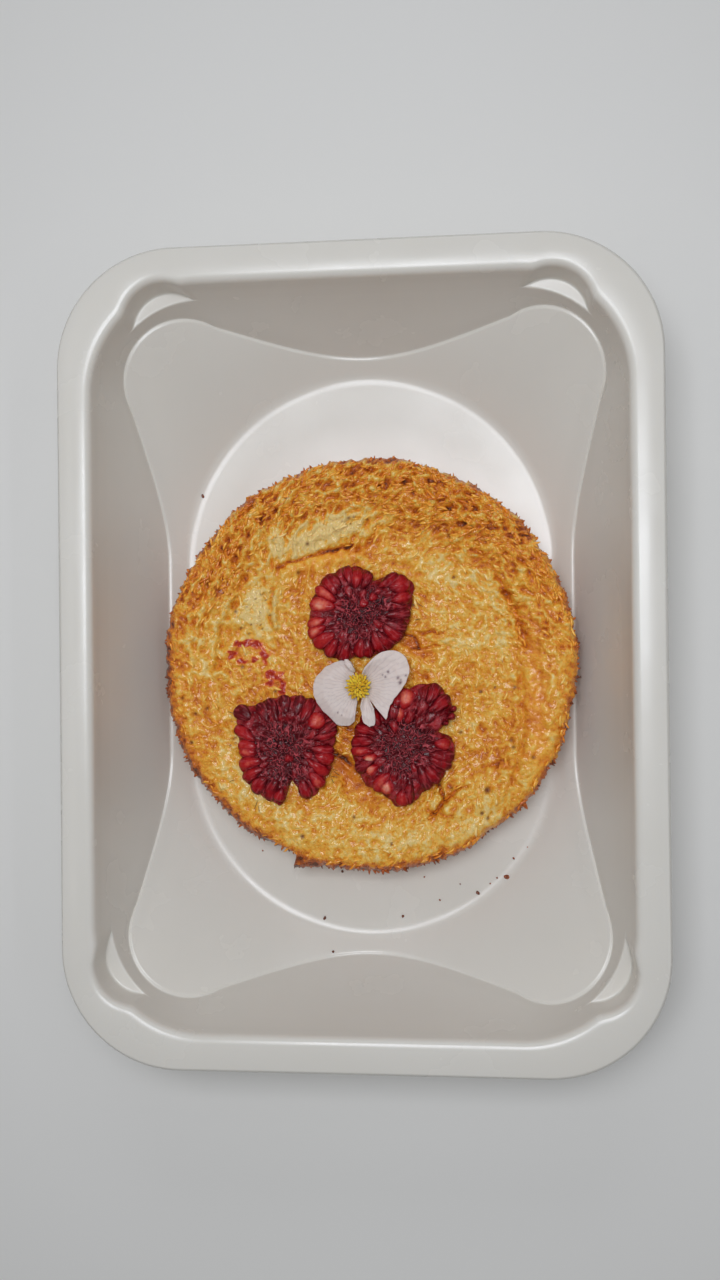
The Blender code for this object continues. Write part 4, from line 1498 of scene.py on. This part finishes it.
# Drupelets closer to the edge than this belong to the outer row, which stands taller and leans out.
OUTER_ROW = 5
spots, turning, sizing, ripeness = [], [], [], []
for seed, berry in enumerate(BERRIES.values()):
    cx, cy = berry["centre"]
    rows = []
    count = OUTER_DRUPELETS
    jitter, vary, deep, broad = (chance(count, start + seed) for start in (301, 311, 321, 331))
    for k in range(count):
        angle = 360 * (k + 0.75 * (jitter[k] - 0.5)) / count
        if apart(angle, berry["tear"][0]) < berry["tear"][2] * 0.55:
            continue
        if any(apart(angle, a) < 2.2 * w and inset < 4 for a, inset, _, w, _ in berry["special"]):
            continue
        flat = berry["smooth"] and berry["smooth"][0] < angle < berry["smooth"][1]
        ripe = max([tone for a, tone in berry["ripe"] if apart(angle, a) < 8] + [0.36 + 0.22 * deep[k]])
        ripe, tall = (0.30, 0.6) if flat else (ripe, 1.0)
        rows.append((angle, 2.1 + 1.0 * vary[k], 4.9 + 1.9 * vary[k], 2.6 + 1.2 * broad[k], ripe, tall))
    for k in range(INNER_DRUPELETS):
        angle = 360 * (k + 0.4 + 0.6 * (vary[k] - 0.5)) / INNER_DRUPELETS
        if apart(angle, berry["tear"][0]) < berry["tear"][2] * 0.9:
            continue
        if berry["smooth"] and berry["smooth"][0] < angle < berry["smooth"][1]:
            continue
        ripe = 0.28 + 0.2 * jitter[k]
        rows.append((angle, 5.6 + 0.7 * deep[k], 3.0 + jitter[k], 1.9 + 0.5 * deep[k], ripe, 0.75))
    rows += [(angle, inset, long, wide, ripe, 1.08) for angle, inset, long, wide, ripe in berry["special"]]
    # Each row holds an angle, the distance in from the edge, length, width, ripeness and plumpness.
    for angle, inset, long, wide, ripe, tall in rows:
        radians = math.radians(angle)
        out = float(berry_reach(berry, np.array(radians))) - inset
        x, y = cx + out * math.cos(radians), cy + out * math.sin(radians)
        outer = inset < OUTER_ROW
        height = 3.0 if outer else 2.9
        spots.append((x, y, float(plain_top(x, y)) + height - 0.35 * (1 - tall)))
        skew = 0.18 * math.sin(angle * 7.0)
        turning.append((0.0, 0.30 if outer else 0.05, radians + skew))
        sizing.append(
            (long / DRUPELET[0], wide / DRUPELET[1], (2.5 if outer else 1.7) * tall / DRUPELET[2])
        )
        ripeness.append(ripe)
drupelets = scatter(
    "drupelets",
    spots,
    turning,
    sizing,
    {"tone": ripeness, "seam": np.zeros(len(spots))},
    rounded_lump(22, 14, bend=0.12, taper=0.34),
    raspberry,
    dict(zip(("Length", "Width", "Height"), DRUPELET)),
    unevenness=0.95,
    grain=0.0016,
)
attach(drupelets, "root")

# %% [markdown]
# ## The flower: thin white tepals
# The flower is small and open, with four thin tepals and a cushion of yellow stamens. A tepal is two
# or three cells thick: it lets light through, has a velvety skin and faint veins that fan out from its
# foot. Each tepal is a fan of rows between its foot and its edge, bent by a height curve, wrinkled a
# little and then given a thickness of a quarter of a millimetre.

# %% Tepal tissue
tissue, tree, shader = start_material(
    "white tepal tissue",
    {
        "IOR": 1.4,
        "Subsurface Weight": 0.35,
        "Subsurface Scale": 0.0008,
        "Subsurface Radius": (1.0, 0.85, 0.8),
        "Sheen Weight": 0.15,
        "Sheen Roughness": 0.4,
    },
)
place = add(tree, "ShaderNodeTexCoord").outputs["Object"]
vein = add(tree, "ShaderNodeAttribute", {"attribute_name": "vein"}).outputs["Fac"]
foot = add(tree, "ShaderNodeAttribute", {"attribute_name": "foot"}).outputs["Fac"]
cloud = add(tree, "ShaderNodeTexNoise", inputs={"Vector": place, "Scale": 1 / 0.003, "Detail": 2.0})
white = add(
    tree,
    "ShaderNodeMix",
    {"data_type": "RGBA"},
    {0: cloud.outputs["Fac"], 6: rgb("E0CEC5"), 7: rgb("E9DAD3")},
)
veined = add(tree, "ShaderNodeMix", {"data_type": "RGBA"}, {0: vein, 6: white.outputs[2], 7: rgb("C2B0B2")})
footed = add(
    tree, "ShaderNodeMix", {"data_type": "RGBA"}, {0: foot, 6: veined.outputs[2], 7: rgb("D8CFA8")}
)
speck = add(tree, "ShaderNodeAttribute", {"attribute_name": "speck"}).outputs["Fac"]
specked = add(
    tree, "ShaderNodeMix", {"data_type": "RGBA"}, {0: speck, 6: footed.outputs[2], 7: rgb("5C3A46")}
)
tree.links.new(specked.outputs[2], shader.inputs["Base Color"])
velvet = add(
    tree,
    "ShaderNodeMapRange",
    inputs={"Value": cloud.outputs["Fac"], "From Min": 0.3, "From Max": 0.7, "To Min": 0.42, "To Max": 0.6},
)
tree.links.new(velvet.outputs["Result"], shader.inputs["Roughness"])
pores = add(tree, "ShaderNodeTexNoise", inputs={"Vector": place, "Scale": 1 / 0.0003, "Detail": 1.0})
pulled = add(
    tree, "ShaderNodeMath", {"operation": "MULTIPLY_ADD"}, {0: vein, 1: -2.0, 2: pores.outputs["Fac"]}
)
relief_node = add(
    tree, "ShaderNodeBump", inputs={"Height": pulled.outputs[0], "Strength": 0.35, "Distance": 0.00006}
)
tree.links.new(relief_node.outputs["Normal"], shader.inputs["Normal"])
print(tissue.name, "has", len(tree.nodes), "nodes")

# %% Tepals
# Angles run from one side of a tepal to the other; reaches are measured at even steps between them,
# heights from its foot to its edge. Blunt is the share that the reach loses at each side, and cup is
# how far the sides turn up.
FLOWER_CENTRE, FLOWER_Z = (-1.3, -7.3), 17.2
TEPAL_THICKNESS = 0.26
LENGTH_CELLS, BROAD_CELLS, NARROW_CELLS, NARROW_ANGLE = 44, 96, 30, 60
TEPALS = {
    "flower_tepal_left": {
        "root": FLOWER_CENTRE,
        "angles": (112, 262),
        "reach": (6.6, 7.9, 9.2, 10.9, 11.4, 11.0, 10.3, 10.9, 9.2),
        "blunt": (0.08, 0.10),
        "inner": 1.6,
        "heights": (16.3, 16.8, 17.0, 16.7, 15.7),
        "cup": 0.5,
    },
    "flower_tepal_right": {
        "root": FLOWER_CENTRE,
        "angles": (-50, 69),
        "reach": (10.4, 8.8, 9.0, 10.0, 12.0, 13.3, 13.1, 10.4, 4.6),
        "blunt": (0.0, 0.1),
        "inner": 1.6,
        "heights": (17.0, 18.2, 19.0, 19.4, 19.3),
        "cup": 0.7,
    },
    "flower_tepal_upper": {
        "root": (-1.9, -4.3),
        "angles": (108, 146),
        "reach": (2.9, 4.4, 3.3),
        "blunt": (0.16, 0.16),
        "inner": 0.5,
        "heights": (17.8, 18.5, 18.9, 18.7, 18.2),
        "cup": -0.5,
    },
    "flower_tepal_lower": {
        "root": (0.2, -8.6),
        "angles": (-102, -62),
        "reach": (4.2, 7.2, 8.4, 8.0, 5.4),
        "blunt": (0.2, 0.2),
        "inner": 0.9,
        "heights": (18.4, 19.2, 19.7, 19.9, 19.7),
        "cup": 0.8,
    },
}

# Specks of dirt and bruises on the tepals: x, y, size in mm.
SPECKS = (
    (5.9, -3.9, 0.34), (5.2, -5.1, 0.24), (8.2, -5.3, 0.36),
    (8.7, -6.5, 0.44), (8.9, -5.8, 0.22), (10.1, -4.8, 0.26),
    (4.4, -4.6, 0.18), (-6.4, -13.6, 0.22), (-5.6, -14.2, 0.18),
)


def through(values, share):
    """A smooth curve through evenly spaced values."""
    place = np.clip(share, 0, 1) * (len(values) - 1)
    fine = np.linspace(0, len(values) - 1, 241)
    straight = np.interp(fine, np.arange(len(values)), values)
    soft = np.convolve(np.pad(straight, 12, mode="edge"), np.ones(25) / 25, "valid")
    return np.interp(place, fine, soft)


def make_tepal(name, tepal, seed):
    """One tepal with its veins, folds and specks, as a thin leaf."""
    start, end = tepal["angles"]
    across_count = NARROW_CELLS if end - start < NARROW_ANGLE else BROAD_CELLS
    lengthwise, sideways = np.linspace(0, 1, LENGTH_CELLS), np.linspace(0, 1, across_count)
    along, across = np.meshgrid(lengthwise, sideways, indexing="ij")
    turn = np.radians(start + (end - start) * across)
    full = through(tepal["reach"], across)
    for from_side, blunt in zip((across, 1 - across), tepal["blunt"]):
        full = full * (1 - blunt + blunt * ramp(from_side * (end - start), 0, 8))
    frill = 0.22 * noise(across * 22, 0 * across + seed, 1.6, seed) * ramp(along, 0.8, 1.0)
    reach = tepal["inner"] + (full - tepal["inner"]) * along + frill
    x, y = from_centre(tepal["root"], reach, turn)
    z = through(tepal["heights"], along)
    edge_up = (2 * across - 1) ** 4 * along
    z = z + tepal["cup"] * (edge_up - 0.25)
    z = z + 0.22 * noise(x, y, 3.2, seed + 1) + 0.07 * noise(x, y, 1.2, seed + 2)
    fan = across * (end - start) / 7.5
    fan = fan + 0.35 * noise(along * 5, across * 9, 1.0, seed + 3)
    vein = (1 - ramp(np.abs((fan % 1) - 0.5), 0.0, 0.16)) * (0.75 - 0.5 * along) * ramp(along, 0.0, 0.2)
    z = z - 0.05 * vein
    speck, ragged_x = 0 * x, x - 0.2 * noise(x, y, 0.5, seed + 5)
    for sx, sy, size in SPECKS:
        speck = np.maximum(speck, np.exp(-((np.hypot(ragged_x - sx, y - sy) / size) ** 2)))
    points = np.stack([x, y, z], -1).reshape(-1, 3)
    number = np.arange(along.size).reshape(along.shape)
    foot = (1 - ramp(along, 0.0, 0.22)) * 0.6
    marks = {"vein": vein.ravel(), "foot": foot.ravel(), "speck": speck.ravel()}
    piece = make_piece(name + "_petal", points, grid_quads(number).tolist(), tissue, marks)
    thicken(piece, TEPAL_THICKNESS)
    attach(piece, "root")
    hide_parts(name)


for seed, (name, tepal) in enumerate(TEPALS.items()):
    make_tepal(name, tepal, 400 + 10 * seed)

# %% [markdown]
# The stamens stand in a tight cushion and lean outwards. From above only the anthers show: bright
# yellow sacs a millimetre and a half long, powdery with pollen, olive in the shadow between them. They
# are laid out by the golden angle, which spaces any number of seeds or stamens evenly, and copied.

# %% Pollen
pollen, tree, shader = start_material(
    "yellow pollen", {"IOR": 1.4, "Subsurface Weight": 0.2, "Subsurface Scale": 0.0005, "Sheen Weight": 0.2}
)
place = add(tree, "ShaderNodeTexCoord").outputs["Object"]
tone = add(tree, "ShaderNodeAttribute", {"attribute_name": "tone"}).outputs["Fac"]
dust = add(tree, "ShaderNodeTexNoise", inputs={"Vector": place, "Scale": 1 / 0.0004, "Detail": 2.0})
mixed = add(
    tree, "ShaderNodeMath", {"operation": "MULTIPLY_ADD"}, {0: dust.outputs["Fac"], 1: 0.5, 2: tone}
)
level = add(tree, "ShaderNodeMath", {"operation": "SUBTRACT"}, {0: mixed.outputs[0], 1: 0.25})
colour = add(tree, "ShaderNodeValToRGB", inputs={"Fac": level.outputs[0]})
set_stops(colour, ((0.0, "5A4A08"), (0.35, "AD8B0C"), (0.65, "E0B010"), (1.0, "F5D83C")))
tree.links.new(colour.outputs["Color"], shader.inputs["Base Color"])
powder = add(
    tree,
    "ShaderNodeMapRange",
    inputs={"Value": dust.outputs["Fac"], "From Min": 0.3, "From Max": 0.7, "To Min": 0.5, "To Max": 0.75},
)
tree.links.new(powder.outputs["Result"], shader.inputs["Roughness"])
grainy = add(
    tree, "ShaderNodeBump", inputs={"Height": dust.outputs["Fac"], "Strength": 0.4, "Distance": 0.00008}
)
tree.links.new(grainy.outputs["Normal"], shader.inputs["Normal"])
print(pollen.name, "has", len(tree.nodes), "nodes")

# %% Stamens
STAMENS, GOLDEN_ANGLE = 46, math.radians(137.508)
# The cushion is a little longer than wide.
CUSHION_STRETCH = (0.95, 1.06)
CUSHION_RADIUS, CUSHION_CELLS = 2.5, 40
order = np.arange(STAMENS)
turn = order * GOLDEN_ANGLE
share = np.sqrt((order + 0.5) / STAMENS)
out = 2.75 * share
x = FLOWER_CENTRE[0] + CUSHION_STRETCH[0] * out * np.cos(turn)
y = FLOWER_CENTRE[1] + CUSHION_STRETCH[1] * out * np.sin(turn)
z = FLOWER_Z + 3.3 - 1.9 * share**2.2 + 0.35 * (chance(STAMENS, 501) - 0.5)
upright = 1.25 - 1.0 * share
stamens = scatter(
    "stamen_anthers",
    np.stack([x, y, z], -1),
    np.stack([0 * turn, -upright + 0.35, turn + 0.7 * (chance(STAMENS, 502) - 0.5)], -1),
    np.stack([0.8 + 0.4 * chance(STAMENS, 503), 0.9 + 0.3 * chance(STAMENS, 504), 1.0 + 0 * turn], -1),
    {"tone": 0.55 + 0.35 * chance(STAMENS, 505)},
    rounded_lump(8, 6, bend=0.12, taper=0.15),
    pollen,
    {"Length": 1.65, "Width": 0.6, "Height": 0.55},
    unevenness=0.08,
    grain=0.0004,
)
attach(stamens, "root")

# %% [markdown]
# Between the anthers one looks down on their stalks, deep in shade. A low dome painted dim olive stands
# for both, a painted shade, and fills the gaps, so that no tepal shows through them.

# %% Cushion under the anthers
unit_x, unit_y = disc_grid(CUSHION_CELLS)
share = np.hypot(unit_x, unit_y)
x = FLOWER_CENTRE[0] + CUSHION_RADIUS * CUSHION_STRETCH[0] * unit_x
y = FLOWER_CENTRE[1] + CUSHION_RADIUS * CUSHION_STRETCH[1] * unit_y
z = FLOWER_Z + 2.5 - 1.7 * share**2 + 0.18 * noise(x, y, 0.5, 520)
faces, edge = slab_faces(CUSHION_CELLS, 2)
rows = [np.stack([x, y, z], -1)]
for grow, height in ((0.96, FLOWER_Z), (0.8, FLOWER_Z - 1.0)):
    rim_x = FLOWER_CENTRE[0] + (x[edge] - FLOWER_CENTRE[0]) * grow
    rim_y = FLOWER_CENTRE[1] + (y[edge] - FLOWER_CENTRE[1]) * grow
    rows.append(np.stack([rim_x, rim_y, 0 * rim_x + height], -1))
rows.append([[FLOWER_CENTRE[0], FLOWER_CENTRE[1], FLOWER_Z - 1.0]])
points = np.vstack(rows)
# Its low tone paints the dome dark olive: painted shade between the anthers.
cushion = make_piece("stamen_shade_cushion", points, faces, pollen, {"tone": np.full(len(points), 0.14)})
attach(cushion, "root")
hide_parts("flower_stamens")

# %% [markdown]
# ### Fine hairs
# Every drupelet carries the dried thread of the flower it grew from. Most have broken off, and a few
# lie at the berries' edges and on the crust: a tenth of a millimetre thick, straw brown and bent.

# %% Dried styles
dried_style, tree, shader = start_material("dried raspberry style", {"IOR": 1.45, "Sheen Weight": 0.1})
place = add(tree, "ShaderNodeTexCoord").outputs["Object"]
stripe = add(tree, "ShaderNodeTexNoise", inputs={"Vector": place, "Scale": 1 / 0.0007, "Detail": 1.0})
straw = add(
    tree,
    "ShaderNodeMix",
    {"data_type": "RGBA"},
    {0: stripe.outputs["Fac"], 6: rgb("3E2410"), 7: rgb("8A5A28")},
)
tree.links.new(straw.outputs[2], shader.inputs["Base Color"])
dull = add(
    tree, "ShaderNodeMapRange", inputs={"Value": stripe.outputs["Fac"], "To Min": 0.45, "To Max": 0.65}
)
tree.links.new(dull.outputs["Result"], shader.inputs["Roughness"])
print(dried_style.name, "has", len(tree.nodes), "nodes")

# x, y, length, turn in degrees.
STYLES = (
    (-8.0, -27.6, 2.2, -20), (-7.4, -28.6, 2.4, -35), (-7.9, -29.4, 2.0, -8), (-8.3, -30.3, 1.8, -60),
    (-26.7, -35.9, 2.6, 70), (-25.9, -36.8, 2.0, 95), (17.4, -31.0, 2.8, 115), (18.6, -33.6, 2.2, 80),
    (-8.4, -12.2, 1.8, 50), (-7.2, -13.2, 1.6, 20),
    (-7.6, -11.2, 1.3, 80), (12.8, 8.6, 2.2, 10), (13.4, 12.0, 1.8, -30),
    (21.0, -14.6, 2.0, -15), (-33.0, -13.6, 1.8, 160), (-32.6, -30.0, 1.8, 200),
)
x, y, long, turn = np.array(STYLES).T
z = cake_surface(x, y)[0]
count = len(STYLES)
hairs = scatter(
    "berry_styles",
    np.stack([x, y, z + 0.45], -1),
    np.stack([3 * chance(count, 601), 0.3 * (chance(count, 602) - 0.5), np.radians(turn)], -1),
    np.stack([long, 1 + 0 * long, 1 + 0 * long], -1),
    {},
    rounded_lump(6, 12, bend=2.2),
    dried_style,
    {"Length": 1.0, "Width": 0.13, "Thickness": 0.13},
)
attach(hairs, "root")
